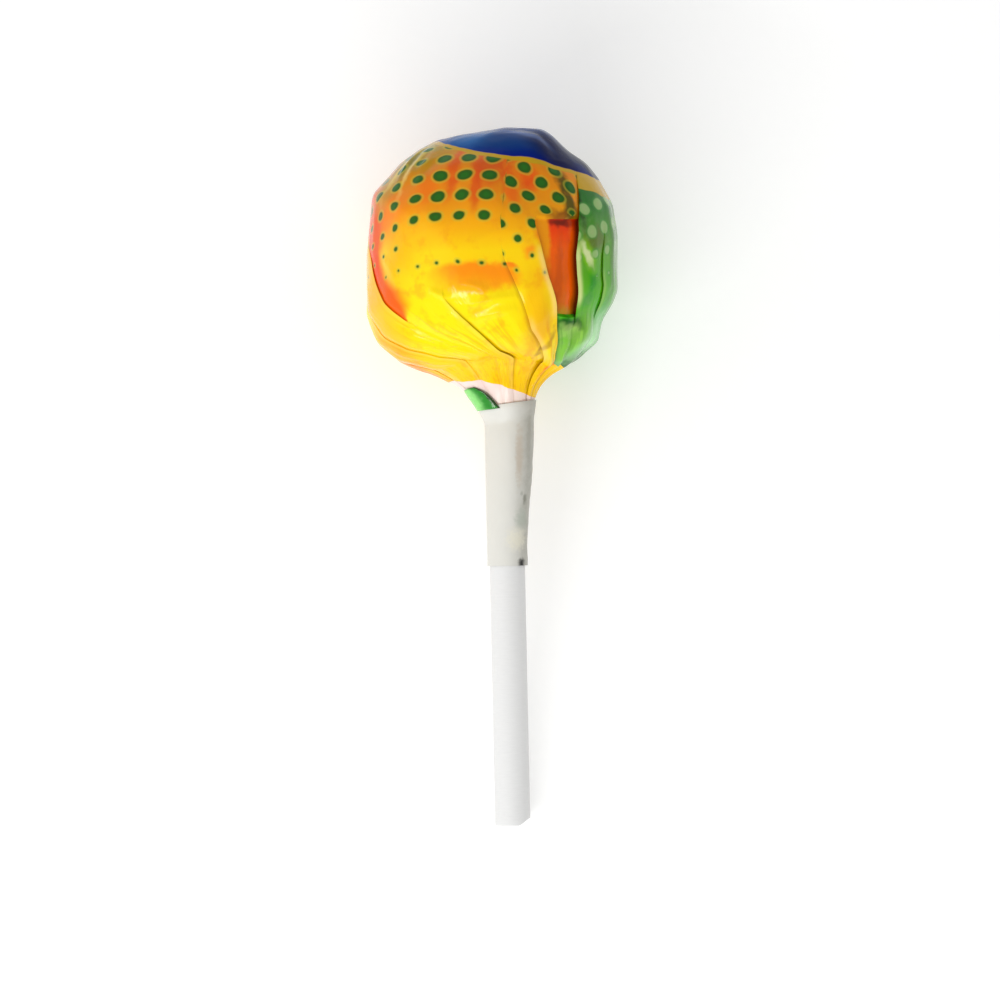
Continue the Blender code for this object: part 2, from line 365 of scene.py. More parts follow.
LEFT_FLAP = (-70, -80, -88, -74, -68, -57, -40, -12, 2)
SIDE_FOLD = (100, 76, 64, 61, 61, 64, 70, 82, 97)
FRONT_FOLDS = (
    Fold(
        LEFT_FLAP, 76, 0.45, Over.LEFT, 46, Zone.YELLOW, LEFT_SHEET,
        fade=0.12, rim=0.1, painted_shade=0.0, ease=0.75,
    ),
    Fold(
        (-16, -20, -24, -26, -25, -23, -11, 3, 20), 96, 0.45, Over.LEFT, 30, Zone.YELLOW, LEFT_SHEET,
        rim=0.1, painted_shade=0.5, ease=0.8,
    ),
    Fold(
        (14, 8.5, 4.5, 5, 9.5, 14, 21, 37, 50), 80, 0.45, Over.RIGHT, 18, Zone.YELLOW, RIGHT_SHEET,
        rim=0.25, rim_from=120, rim_to=146, painted_shade=0.6,
    ),
    Fold(
        (40, 30, 20, 23, 26, 31, 37, 47, 62), 66, 0.35, Over.LEFT, 18, Zone.STRIP, RIGHT_SHEET,
        rim=0.4, rim_from=88, rim_to=118, painted_shade=0.7,
    ),
    Fold(
        (75, 53, 44, 42, 43, 45, 48, 60, 78), 45, 0.45, Over.RIGHT, 18, Zone.GREEN, GREEN_SHEET,
        fade=0.2, rim=0.9, rim_from=86, rim_to=113, painted_shade=0.9,
    ),
    Fold(
        SIDE_FOLD, 70, 0.30, Over.RIGHT, 20, Zone.GREEN, GREEN_SHEET,
        fade=0.15, rim=0.25, rim_from=98, rim_to=118, painted_shade=0.35,
    ),
)


@dataclass
class WrapperShape:
    """Form of the film round the ball, in folds and flats, before its small wrinkles."""

    pose: LyingPose
    radius: float = 13.75 * MM
    slack: float = 0.985
    facet_rings: tuple[tuple[int, int, int], ...] = ((26, 6, 10), (60, 9, -20), (94, 10, 4), (128, 8, -5))
    facet_sharpness: float = 34.0
    corner_limit: float = 1.03
    outline_from: float = 0.62
    outline_full: float = 0.97
    outline: tuple[tuple[float, float], ...] = (
        (-3.70, 13.40), (1.70, 14.20), (5.70, 14.00), (7.00, 13.10), (8.40, 11.65), (10.45, 10.15),
        (11.85, 8.35), (13.30, 5.60), (13.80, 2.20), (13.60, -3.80), (12.90, -5.30), (11.70, -6.90),
        (11.15, -9.20), (8.80, -11.10), (6.60, -12.25), (-6.75, -12.40), (-10.30, -11.05),
        (-12.50, -8.90), (-13.75, -5.80), (-13.65, 0.70), (-12.90, 7.20), (-9.80, 10.55),
        (-7.50, 12.10), (-5.80, 12.90),
    )
    press_reach: float = 3.2 * MM
    press_sides: int = 6
    press_tilt: float = math.radians(20)
    press_radius: float = 13.6 * MM
    press_full: float = math.cos(math.radians(34))
    press_edge: float = math.cos(math.radians(48))
    back_folds: int = 7
    back_start: tuple[float, float] = (84, 108)
    back_depth: tuple[float, float] = (0.25, 0.42)
    back_jitter: float = 0.16
    back_columns: int = 18
    hidden_folds: int = 2
    hidden_ease: float = 0.35
    green_back_folds: int = 3
    seed: int = 27
    fold_run: float = 30.0
    fold_share: float = 0.6
    panel_bow: float = 0.30 * MM
    bow_start: float = 92.0
    strip_panel: int = 3
    strip_depth: float = 0.42 * MM
    strip_top: tuple[float, float] = (72.0, 74.5)
    strip_tuck: tuple[float, float] = (118.3, 119.2)
    ball_end: float = 150.0
    folds: list[Fold] = field(init=False)
    outline_curve: Array = field(init=False)

    def __post_init__(self) -> None:
        """Work out the folds of the back and the softened outline."""
        self.folds = list(FRONT_FOLDS) + self.make_back_folds()
        self.outline_curve = self.soften_outline()

    def make_back_folds(self) -> list[Fold]:
        """Spread the folds of the back between the last and the first front fold.

        Returns:
            Folds in order of azimuth, each with its own turn of the dot grid.
        """
        draw = random.Random(self.seed)
        folds = []
        for index in range(self.back_folds):
            jitter = draw.uniform(-self.back_jitter, self.back_jitter)
            share = (index + 1 + jitter) / (self.back_folds + 1)
            path = tuple(last + share * (first + 360 - last) for first, last in zip(LEFT_FLAP, SIDE_FOLD))
            start = draw.uniform(*self.back_start)
            depth = draw.uniform(*self.back_depth)
            zone = Zone.GREEN if index < self.green_back_folds else Zone.YELLOW
            sheet = DotSheet(path[2] + 12, 66, turn=17 * index - 50, across=2.6, down=2.5)
            hidden = index >= self.back_folds - self.hidden_folds
            folds.append(Fold(
                path, start, depth, Over.LEFT, self.back_columns, zone, sheet,
                painted_shade=0.2 if hidden else 0.6, ease=self.hidden_ease if hidden else 1.0,
            ))
        return folds

    def soften_outline(self) -> Array:
        """Sample the front outline's reach at each half degree, with its corners rounded off.

        Returns:
            Reach in metres at 720 angles from the top, clockwise.
        """
        angles = np.radians(np.arange(720) / 2)
        ray_x, ray_z = np.sin(angles), np.cos(angles)
        reach = np.full(720, self.radius)
        following = self.outline[1:] + self.outline[:1]
        for (x0, z0), (x1, z1) in zip(self.outline, following):
            edge_x, edge_z = x1 - x0, z1 - z0
            across = ray_x * edge_z - ray_z * edge_x
            across = np.where(np.abs(across) < 1e-9, 1e-9, across)
            distance = (x0 * edge_z - z0 * edge_x) / across
            share = (x0 * ray_z - z0 * ray_x) / across
            hit = (distance > 0) & (share >= 0) & (share <= 1)
            reach = np.where(hit, distance * MM, reach)
        return soften(reach, 7, closed=True)

    def pressed_share(self, unit: Array) -> Array:
        """How far a direction belongs to the pressed underside, from 0 to 1."""
        return smoothstep(self.press_edge, self.press_full, unit @ self.pose.down)

    def film_radius(self, unit: Array) -> Array:
        """Give the film's distance from the ball's centre before its folds.

        Args:
            unit: Directions on the ball.

        Returns:
            Distances in metres.
        """
        total = np.zeros(unit.shape[:-1])
        for polar, count, turn in self.facet_rings:
            for index in range(count):
                facing = unit @ direction(turn + 360.0 * index / count, polar)
                total += np.clip(facing, 0, None) ** self.facet_sharpness
        flats = np.minimum(total ** (-1.0 / self.facet_sharpness), self.corner_limit)
        radius = self.radius * self.slack * flats
        rim = np.hypot(unit[..., 0], unit[..., 2])
        angle = np.degrees(np.arctan2(unit[..., 0], unit[..., 2])) % 360
        closed = np.append(self.outline_curve, self.outline_curve[0])
        reach = np.interp(angle, np.arange(721) / 2, closed)
        radius = radius + smoothstep(self.outline_from, self.outline_full, rim) * (reach - radius)
        return radius + self.pressed_share(unit) * (self.press_radius - radius)

    def fold_azimuth(self, index: int, polar: Array) -> Array:
        """Give a fold's azimuth down the ball, even round the pole and on its softened path below.

        Args:
            index: Number of the fold; numbers past the last go round again.
            polar: Angles from the top.

        Returns:
            Azimuths in degrees.
        """
        turns, index = divmod(index, len(self.folds))
        steps = np.arange(0, 2 * self.ball_end + 1) / 2
        path = soften(np.interp(steps, STATIONS, self.folds[index].path), 6)
        even = LEFT_FLAP[0] + 360.0 * index / len(self.folds)
        share = smoothstep(0, STATIONS[0], polar)
        return even + share * (np.interp(polar, steps, path) - even) + 360.0 * turns

    def press_flat(self, points: Array) -> Array:
        """Press the underside onto the floor and onto the tilted flats round it.

        Args:
            points: Upright points in metres.

        Returns:
            The points, none of them beyond a flat.
        """
        middle = self.pose.down * self.pose.height
        flats = [(self.pose.down, self.pose.height)]
        for index in range(self.press_sides):
            angle = 2 * math.pi * (index + 0.5) / self.press_sides
            turn = Matrix.Rotation(angle, 3, Vector(self.pose.down))
            outward = np.array(turn @ Vector((1, 0, 0)))
            normal = self.pose.down * math.cos(self.press_tilt) + outward * math.sin(self.press_tilt)
            flats.append((normal, normal @ (middle + outward * self.press_reach)))
        for normal, height in flats:
            reach = points @ normal
            scale = np.where(reach > height, height / np.maximum(reach, 1e-9), 1.0)
            points = points * scale[..., None]
        return points


@dataclass(frozen=True)
class Ink:
    """A soft oval of ink in the print, at a place on the ball."""

    azimuth: float
    polar: float
    width: float
    height: float
    colour: str
    strength: float = 0.9
    soft: float = 0.5
    turn: float = 0.0
    ball: float = 13.75

    def frame_matrix(self) -> Matrix:
        """Axes of the oval on the ball: along its width, along its height and outward."""
        outward = Vector(direction(self.azimuth, self.polar))
        right = Vector(direction(self.azimuth + 90, 90))
        up = outward.cross(right) * -1
        turn = Matrix.Rotation(math.radians(self.turn), 3, outward)
        return Matrix((turn @ right, turn @ up, outward)).transposed()

    def mask(self, tree: Tree, place: Socket) -> Socket:
        """Build the oval's mask.

        Args:
            tree: Node tree of the film.
            place: Place on the ball in mm.

        Returns:
            Socket that is the ink's strength inside and 0 outside.
        """
        centre = Vector(direction(self.azimuth, self.polar)) * self.ball
        inside = add_node(tree, "ShaderNodeMapping", {"vector_type": "TEXTURE"}, {
            "Vector": place,
            "Location": centre,
            "Rotation": self.frame_matrix().to_euler(),
            "Scale": (self.width / 2, self.height / 2, 4.0),
        })
        away = add_node(tree, "ShaderNodeVectorMath", {"operation": "LENGTH"}, {0: inside.outputs[0]})
        fade = add_node(tree, "ShaderNodeMapRange", SMOOTH, {
            "Value": away.outputs["Value"],
            "From Min": 1 - self.soft,
            "From Max": 1 + self.soft,
            "To Min": self.strength,
            "To Max": 0.0,
        })
        return fade.outputs[0]


EMBER = "#E4480A"
LEMON = "#FFE600"
OLIVE = "#5A6612"
# Pale straw of the painted highlight streaks on the wrinkles.
STRAW_HIGHLIGHT = "#FFE070"

YELLOW_INKS = (
    Ink(-60, 64, 7.0, 8.0, "#F97A08", 0.75, 0.6),
    Ink(-84, 74, 5.0, 12.0, "#EA3C04", 0.95, 0.5),
    Ink(-70, 84, 3.8, 12.0, "#EE4E04", 0.92, 0.6),
    Ink(-47, 96, 4.0, 9.0, "#FBB004", 0.7, 0.8),
    Ink(-22.8, 46.2, 1.4, 2.8, EMBER, 0.75, 0.6),
    Ink(-8, 55.6, 1.3, 3.6, EMBER, 0.75, 0.6),
    Ink(-36, 57, 2.6, 2.2, "#F7700A", 0.7, 0.7),
    Ink(9.9, 43.7, 1.8, 1.8, EMBER, 0.75, 0.7),
    Ink(-1, 44, 2.6, 0.9, "#D83A10", 0.7, 0.7),
    Ink(21.8, 53.9, 2.0, 1.4, "#F04406", 0.8, 0.6),
    Ink(11, 62.5, 1.6, 2.0, "#F56A08", 0.8, 0.7),
    Ink(23.4, 81.1, 1.6, 1.5, "#FA6210", 0.8, 0.7),
    Ink(16.7, 88.4, 1.3, 1.4, "#FF7A10", 0.7, 0.7),
    Ink(7, 95, 1.8, 0.7, "#FF6A10", 0.8, 0.6),
    Ink(-58, 38, 6.5, 3.6, "#8A8A12", 0.75, 0.8),
    Ink(-66, 58, 3.4, 3.0, "#A89A18", 0.6, 0.8),
    Ink(-73, 38, 1.0, 4.6, OLIVE, 0.6, 0.8),
    Ink(-60, 37, 0.9, 4.2, OLIVE, 0.6, 0.8, turn=4),
    # Painted highlight: pale straw streaks along the upper left's wrinkles.
    Ink(-67, 42, 0.8, 5.0, STRAW_HIGHLIGHT, 0.6, 0.8, turn=4),
    Ink(-55, 46, 0.7, 4.4, STRAW_HIGHLIGHT, 0.5, 0.8, turn=8),
    Ink(-10, 99.4, 10.2, 3.3, "#FF9204", 1.0, 0.22),
    Ink(-38, 80, 6.0, 3.0, "#FFC200", 0.6, 0.6),
    Ink(-36, 106, 7.0, 6.0, LEMON, 0.7, 0.6),
    Ink(-14, 122, 12.0, 8.0, LEMON, 0.75, 0.6),
    Ink(-70, 133, 6.0, 6.0, "#FFB40A", 0.85, 0.6),
    Ink(-88, 147, 3.0, 7.0, "#FF7E06", 0.9, 0.6),
    Ink(20, 111, 2.4, 7.0, "#FFC400", 0.9, 0.6),
    Ink(27, 124, 2.4, 4.2, "#F0B004", 0.85, 0.6),
    Ink(35, 136.5, 0.6, 0.5, "#9A620A", 0.6, 0.7),
    Ink(58, 147, 1.2, 1.0, "#F05A10", 0.8, 0.6),
    # Painted shadow of the tuck over the top of the orange strip.
    Ink(36, 72.0, 4.2, 1.0, "#7A3A08", 0.8, 0.7),
    # Dark stripe beside the green fold: partly painted shade of the fold, partly the green panel's dark
    # edge.
    Ink(41.5, 63, 1.5, 6.8, "#33460E", 0.9, 0.5),
)
CAP_INKS = (
    Ink(-30, 20, 5.0, 5.0, "#0068B0", 0.8, 0.7),
    Ink(20, 24, 6.0, 2.2, "#003C7C", 0.8, 0.7),
    Ink(52, 38, 5.4, 4.4, "#04073A", 0.9, 0.55),
    Ink(88, 46, 7.0, 3.2, "#02041E", 0.95, 0.5),
    # Pale blue streak on the cap: a painted reflection.
    Ink(38, 24, 1.2, 4.0, "#5C7CC0", 0.5, 0.8, turn=30),
    Ink(150, 30, 8.0, 5.0, "#0A57A8", 0.6, 0.8),
)
GREEN_INKS = (
    Ink(54, 83, 4.5, 2.6, "#5E6A14", 0.8, 0.6),
    # Dark stripe at the green fold's top: partly painted shade of the fold, partly the panel's dark edge.
    Ink(47, 66, 1.3, 5.0, "#24400C", 0.9, 0.6),
    # The grey-green veil on the green side's right is a painted reflection of the pale surroundings.
    Ink(84, 88, 3.0, 12.0, "#869C72", 0.75, 0.8),
    Ink(72, 92, 1.6, 9.0, "#4C6B3A", 0.6, 0.7),
    Ink(54, 104, 2.0, 5.0, "#46AA00", 0.9, 0.5),
    Ink(53, 103, 1.2, 1.4, "#1D930E", 0.8, 0.6),
    Ink(52, 111, 1.4, 1.6, "#1D930E", 0.8, 0.6),
    # Pale lime wedge at the green panel's edge: a painted highlight.
    Ink(49.5, 90.5, 1.5, 3.4, "#8CCB1C", 0.85, 0.7, turn=34),
    Ink(48.6, 89.8, 0.7, 3.0, "#DDE8A8", 0.9, 0.6, turn=34),
    Ink(64, 129, 9.5, 6.6, "#24A40E", 0.95, 0.45),
    Ink(56, 130, 4.4, 3.4, "#88CC2C", 0.85, 0.7),
    Ink(74, 134, 4.0, 3.4, "#BCF2B4", 0.92, 0.7),
    Ink(45, 136, 1.4, 4.4, "#86C24A", 0.7, 0.8, turn=30),
    # Dark line and pale line where the green hem's edge lies over the strip: painted shade and a painted
    # highlight.
    Ink(45, 122.3, 3.4, 0.7, "#0C4A10", 0.9, 0.5),
    Ink(46.5, 126, 3.2, 0.6, "#A8CC6A", 0.6, 0.7),
    Ink(88, 146, 7.0, 1.6, "#0A5A14", 0.9, 0.6),
)
STRIP_INKS = (
    # The strip's brighter right edge is painted light, its darker left part painted shadow from the panel
    # beside it.
    Ink(41, 96, 1.0, 10.0, "#FF6404", 0.9, 0.6),
    Ink(34, 98, 1.0, 7.0, "#BC4A08", 0.5, 0.7),
    # Painted shadow of the tuck at the top of the strip.
    Ink(35, 74.6, 3.6, 0.9, "#6A1E08", 0.9, 0.7),
    Ink(23.0, 79, 2.5, 9.4, "#FA9E06", 0.98, 0.3, turn=6),
    Ink(38, 119, 5.0, 0.9, "#B8901E", 0.8, 0.7),
)


@dataclass(frozen=True)
class PrintedFilm:
    """Oriented polypropylene wrapper film, gravure printed and pulled tight round the ball.

    It is glossy and thin: sharp small highlights break over its wrinkles, the colours stay strong.
    """

    name: str
    ground: tuple[tuple[float, str], ...]
    inks: tuple[Ink, ...]
    dot: str
    halo: str
    dot_pale: str
    mottle: str
    flap: str = "#FFC21A"
    gap: str = "#F04404"
    # Colours of the painted highlight on the fold rims and of the painted shade in the fold tucks.
    rim: str = "#FFDDA0"
    painted_shade: str = "#6A2A06"
    ring: str = "#CBA10C"
    cap: str = "#00387C"
    cap_edge: str = "#041E80"
    cap_azimuth: float = 100.0
    cap_polar: float = 15.0
    cap_reach: float = 9.85
    ring_width: float = 0.62
    ball: float = 13.75
    roughness: float = 0.08
    ior: float = 1.22
    specular: float = 0.75
    cap_specular: float = 0.16
    crinkle: float = 1.1
    crinkle_depth: float = 0.024
    pull_width: float = 0.9
    pull_depth: float = 0.10
    pull_from: float = 5.0
    pull_full: float = -9.0
    pull_least: float = 0.12
    streak: str = "#E58A0C"
    streak_range: tuple[float, float] = (0.5, 0.66)
    streak_strength: float = 0.32
    blot: float = 2.2
    blot_range: tuple[float, float] = (0.52, 0.72)
    blot_strength: float = 0.34
    gap_range: tuple[float, float] = (0.45, 1.25)
    gap_strength: float = 0.9
    wander_reach: float = 1.2
    wander_scale: float = 0.7
    cap_wave: float = 1.1
    cap_wave_scale: float = 0.25
    cap_inset: float = 1.1
    cap_blur: float = 1.2
    ring_blur: float = 0.08
    dot_wobble: float = 0.22
    dot_wobble_scale: float = 0.9
    dot_edge: tuple[float, float] = (0.07, 0.03)
    dot_squash: float = 1.16
    dot_least: float = 0.04
    gloss_spread: tuple[float, float] = (0.04, 0.07)

    def dress(self) -> Material:
        """Build the film's material.

        Returns:
            Glossy printed film.
        """
        material, tree = empty_material(self.name)
        place = add_node(tree, "ShaderNodeAttribute", {"attribute_name": "place"}).outputs["Vector"]
        edges = add_node(tree, "ShaderNodeAttribute", {"attribute_name": "edges"})
        split = add_node(tree, "ShaderNodeSeparateXYZ", {}, {0: edges.outputs["Vector"]})
        rim, painted_shade, flap = split.outputs
        wandered = self.wander(tree, place)
        layers = [(ink.mask(tree, wandered), ink.colour) for ink in self.inks]
        layers.append((self.blots(tree, place), self.mottle))
        drawn = add_node(tree, "ShaderNodeMapRange", SMOOTH, {
            "Value": self.pull_lines(tree, place), "From Min": self.streak_range[0],
            "From Max": self.streak_range[1], "To Max": self.streak_strength})
        layers.append((drawn.outputs[0], self.streak))
        layers.append((self.flap_gap(tree), self.gap))
        layers.append((flap, self.flap))
        layers += self.dots(tree)
        cap_layers = self.cap_layers(tree, place)
        layers += cap_layers
        # Painted highlight along the fold rims, then painted shade in the tucks.
        layers.append((rim, self.rim))
        layers.append((painted_shade, self.painted_shade))
        colour = print_inks(tree, self.ground_colour(tree, place), layers)
        self.finish(tree, colour, place, cap_layers[1][0])
        return material

    def wander(self, tree: Tree, place: Socket) -> Socket:
        """Let the edges of the ink wander.

        Args:
            tree: Node tree of the film.
            place: Place on the ball in mm.

        Returns:
            Place shifted by up to about half a millimetre.
        """
        wave = add_node(tree, "ShaderNodeTexNoise", {}, {
            "Vector": place, "Scale": self.wander_scale, "Detail": 2.0})
        even = add_node(tree, "ShaderNodeVectorMath", {"operation": "SUBTRACT"}, {
            0: wave.outputs["Color"], 1: (0.5, 0.5, 0.5)})
        shift = add_node(tree, "ShaderNodeVectorMath", {"operation": "MULTIPLY_ADD"}, {
            0: even.outputs[0], 1: (self.wander_reach,) * 3, 2: place})
        return shift.outputs[0]

    def ground_colour(self, tree: Tree, place: Socket) -> Socket:
        """Grade the ground colour from the top of the ball to the neck.

        Args:
            tree: Node tree of the film.
            place: Place on the ball in mm.

        Returns:
            Colour socket of the ground.
        """
        height = add_node(tree, "ShaderNodeSeparateXYZ", {}, {0: place})
        share = add_node(tree, "ShaderNodeMapRange", {}, {
            "Value": height.outputs[2], "From Min": -self.ball, "From Max": self.ball})
        ramp = add_node(tree, "ShaderNodeValToRGB", {}, {0: share.outputs[0]})
        stops = ramp.color_ramp.elements
        while len(stops) < len(self.ground):
            stops.new(1.0)
        for stop, (rise, colour) in zip(stops, self.ground):
            stop.position = (rise + self.ball) / (2 * self.ball)
            stop.color = linear(colour)
        return ramp.outputs[0]

    def blots(self, tree: Tree, place: Socket) -> Socket:
        """Mask of the uneven ink, in soft blots a few millimetres across.

        Args:
            tree: Node tree of the film.
            place: Place on the ball in mm.

        Returns:
            Socket from 0 to a third.
        """
        cloud = add_node(tree, "ShaderNodeTexNoise", {}, {
            "Vector": place, "Scale": 1 / self.blot, "Detail": 3.0, "Roughness": 0.6})
        faint = add_node(tree, "ShaderNodeMapRange", SMOOTH, {
            "Value": cloud.outputs[0], "From Min": self.blot_range[0], "From Max": self.blot_range[1],
            "To Max": self.blot_strength})
        return faint.outputs[0]

    def flap_gap(self, tree: Tree) -> Socket:
        """Mask of the red that shows beside the left flap's edge.

        Args:
            tree: Node tree of the film.

        Returns:
            Socket that is 1 at the flap and fades away from it.
        """
        gap = add_node(tree, "ShaderNodeAttribute", {"attribute_name": "flap_gap"})
        near = add_node(tree, "ShaderNodeMapRange", SMOOTH, {
            "Value": gap.outputs["Fac"], "From Min": self.gap_range[0], "From Max": self.gap_range[1],
            "To Min": self.gap_strength, "To Max": 0.0})
        return near.outputs[0]

    def dots(self, tree: Tree) -> Inks:
        """Masks of the halftone dots: a pale halo, then the dot.

        Args:
            tree: Node tree of the film.

        Returns:
            Layers of ink from below.
        """
        sheet = add_node(tree, "ShaderNodeAttribute", {"attribute_name": "sheet"})
        size = add_node(tree, "ShaderNodeSeparateXYZ", {}, {0: sheet.outputs["Vector"]})
        flat = add_node(tree, "ShaderNodeCombineXYZ", {}, {0: size.outputs[0], 1: size.outputs[1], 2: 0.0})
        wave = add_node(tree, "ShaderNodeTexNoise", {}, {
            "Vector": flat.outputs[0], "Scale": self.dot_wobble_scale})
        moved = add_node(tree, "ShaderNodeVectorMath", {"operation": "MULTIPLY_ADD"}, {
            0: wave.outputs["Color"], 1: (self.dot_wobble, self.dot_wobble, 0.0), 2: flat.outputs[0]})
        half = (1 - self.dot_wobble) / 2
        centred = add_node(tree, "ShaderNodeVectorMath", {"operation": "ADD"}, {
            0: moved.outputs[0], 1: (half, half, 0.0)})
        cell = add_node(tree, "ShaderNodeVectorMath", {"operation": "FRACTION"}, {0: centred.outputs[0]})
        middle = add_node(tree, "ShaderNodeVectorMath", {"operation": "SUBTRACT"}, {
            0: cell.outputs[0], 1: (0.5, 0.5, 0.0)})
        plane = add_node(tree, "ShaderNodeVectorMath", {"operation": "MULTIPLY"}, {
            0: middle.outputs[0], 1: (1.0, self.dot_squash, 0.0)})
        away = add_node(tree, "ShaderNodeVectorMath", {"operation": "LENGTH"}, {0: plane.outputs[0]})
        beyond = add_node(tree, "ShaderNodeMath", {"operation": "SUBTRACT"}, {
            0: away.outputs["Value"], 1: size.outputs[2]})
        shown = add_node(tree, "ShaderNodeMath", {"operation": "GREATER_THAN"}, {
            0: size.outputs[2], 1: self.dot_least})
        rings = ((0.12, 0.45, self.halo), (0.02, 0.98, self.dot), (-0.14, 0.4, self.dot_pale))
        layers = []
        for reach, strength, ink in rings:
            edge = add_node(tree, "ShaderNodeMapRange", SMOOTH, {
                "Value": beyond.outputs[0], "From Min": reach - self.dot_edge[0],
                "From Max": reach + self.dot_edge[1], "To Min": strength, "To Max": 0.0})
            mask = add_node(tree, "ShaderNodeMath", {"operation": "MULTIPLY"}, {
                0: edge.outputs[0], 1: shown.outputs[0]})
            layers.append((mask.outputs[0], ink))
        return layers

    def cap_layers(self, tree: Tree, place: Socket) -> Inks:
        """Masks of the ochre ring and the blue cap that it bounds.

        Args:
            tree: Node tree of the film.
            place: Place on the ball in mm.

        Returns:
            Layers of ink from below.
        """
        axis = Vector(direction(self.cap_azimuth, self.cap_polar))
        facing = add_node(tree, "ShaderNodeVectorMath", {"operation": "DOT_PRODUCT"}, {
            0: place, 1: axis / self.ball})
        angle = add_node(tree, "ShaderNodeMath", {"operation": "ARCCOSINE"}, {0: facing.outputs["Value"]})
        wave = add_node(tree, "ShaderNodeTexNoise", {}, {"Vector": place, "Scale": self.cap_wave_scale})
        lean = add_node(tree, "ShaderNodeMath", {"operation": "MULTIPLY_ADD"}, {
            0: wave.outputs[0], 1: self.cap_wave, 2: -self.cap_wave / 2})
        reach = add_node(tree, "ShaderNodeMath", {"operation": "MULTIPLY_ADD"}, {
            0: angle.outputs[0], 1: self.ball, 2: lean.outputs[0]})
        bands = (
            (self.cap_reach + self.ring_width, self.ring_blur, self.ring),
            (self.cap_reach, self.ring_blur, self.cap_edge),
            (self.cap_reach - self.cap_inset, self.cap_blur, self.cap),
        )
        layers = []
        for limit, blur, ink in bands:
            inside = add_node(tree, "ShaderNodeMapRange", SMOOTH, {
                "Value": reach.outputs[0], "From Min": limit - blur, "From Max": limit + blur,
                "To Min": 1.0, "To Max": 0.0})
            layers.append((inside.outputs[0], ink))
        covered = layers[1][0]
        for ink in CAP_INKS:
            kept = add_node(tree, "ShaderNodeMath", {"operation": "MULTIPLY"}, {
                0: ink.mask(tree, place), 1: covered})
            layers.append((kept.outputs[0], ink.colour))
        return layers

    def pull_lines(self, tree: Tree, place: Socket) -> Socket:
        """Height of the fine lines drawn towards the neck, stronger the nearer they come to it.

        Args:
            tree: Node tree of the film.
            place: Place on the ball in mm.

        Returns:
            Socket from 0 to 1.
        """
        pull = add_node(tree, "ShaderNodeAttribute", {"attribute_name": "pull"}).outputs["Vector"]
        lines = add_node(tree, "ShaderNodeTexNoise", {}, {
            "Vector": pull, "Scale": 1 / self.pull_width, "Detail": 3.0, "Roughness": 0.55})
        height = add_node(tree, "ShaderNodeSeparateXYZ", {}, {0: place})
        near = add_node(tree, "ShaderNodeMapRange", SMOOTH, {
            "Value": height.outputs[2], "From Min": self.pull_from, "From Max": self.pull_full,
            "To Min": self.pull_least, "To Max": 1.0})
        grown = add_node(tree, "ShaderNodeMath", {"operation": "MULTIPLY"}, {
            0: lines.outputs[0], 1: near.outputs[0]})
        return grown.outputs[0]

    def finish(self, tree: Tree, colour: Socket, place: Socket, cap: Socket) -> None:
        """Give the printed colour the film's gloss and fine crinkle.

        Args:
            tree: Node tree of the film.
            colour: Printed colour.
            place: Place on the ball in mm.
            cap: Socket that is 1 inside the blue cap, whose ink is duller.
        """
        crinkle = add_node(tree, "ShaderNodeTexNoise", {}, {
            "Vector": place, "Scale": 1 / self.crinkle, "Detail": 2.0, "Distortion": 0.6})
        relief = add_node(tree, "ShaderNodeBump", {}, {
            "Strength": 1.0, "Distance": self.crinkle_depth * MM, "Height": crinkle.outputs[0]})
        drawn = add_node(tree, "ShaderNodeBump", {}, {
            "Strength": 1.0, "Distance": self.pull_depth * MM, "Height": self.pull_lines(tree, place),
            "Normal": relief.outputs[0]})
        dull = add_node(tree, "ShaderNodeMapRange", {}, {
            "Value": crinkle.outputs[0], "To Min": self.roughness - self.gloss_spread[0],
            "To Max": self.roughness + self.gloss_spread[1]})
        gloss = add_node(tree, "ShaderNodeMapRange", {}, {
            "Value": cap, "To Min": self.specular, "To Max": self.cap_specular})
        shader = add_node(tree, "ShaderNodeBsdfPrincipled", {}, {
            "Base Color": colour, "Roughness": dull.outputs[0], "IOR": self.ior,
            "Specular IOR Level": gloss.outputs[0], "Normal": drawn.outputs[0]})
        add_node(tree, "ShaderNodeOutputMaterial", {}, {"Surface": shader.outputs[0]})


YELLOW_FILM = PrintedFilm(
    "printed_film_yellow",
    (
        (-13.0, "#FFCC00"), (-9.0, "#FFE000"), (-5.0, "#FFE000"), (-2.0, "#FFD000"), (0.5, "#FFD400"),
        (3.0, "#FFB400"), (6.0, "#F69802"), (9.0, "#EA8A06"), (12.0, "#D8900A"),
    ),
    YELLOW_INKS, dot="#165E10", halo="#C4BE36", dot_pale="#1F7A18", mottle="#F2880A",
)
GREEN_FILM = PrintedFilm(
    "printed_film_green",
    (
        (-13.0, "#1A8A10"), (-8.0, "#34B004"), (-4.0, "#54B204"), (0.0, "#5CA80C"), (3.0, "#469014"),
        (5.0, "#207816"), (8.0, "#146614"),
    ),
    GREEN_INKS, dot="#93BC6E", halo="#3C9430", dot_pale="#A4B878", mottle="#79A85E",
    flap="#2CA80C", gap="#2CA80C", rim="#DDE896", painted_shade="#12380C", streak="#14640F", ring_width=2.3,
)
STRIP_FILM = PrintedFilm(
    "printed_film_orange",
    ((-7.0, "#B4780A"), (-5.6, "#D06604"), (-3.6, "#EA6404"), (0.5, "#FA6204"), (3.5, "#FA3806")),
    STRIP_INKS, dot="#B0480C", halo="#D2500E", dot_pale="#B0480C", mottle="#B64008",
    rim="#F0A060", painted_shade="#4A1A06", streak="#8E3408",
)


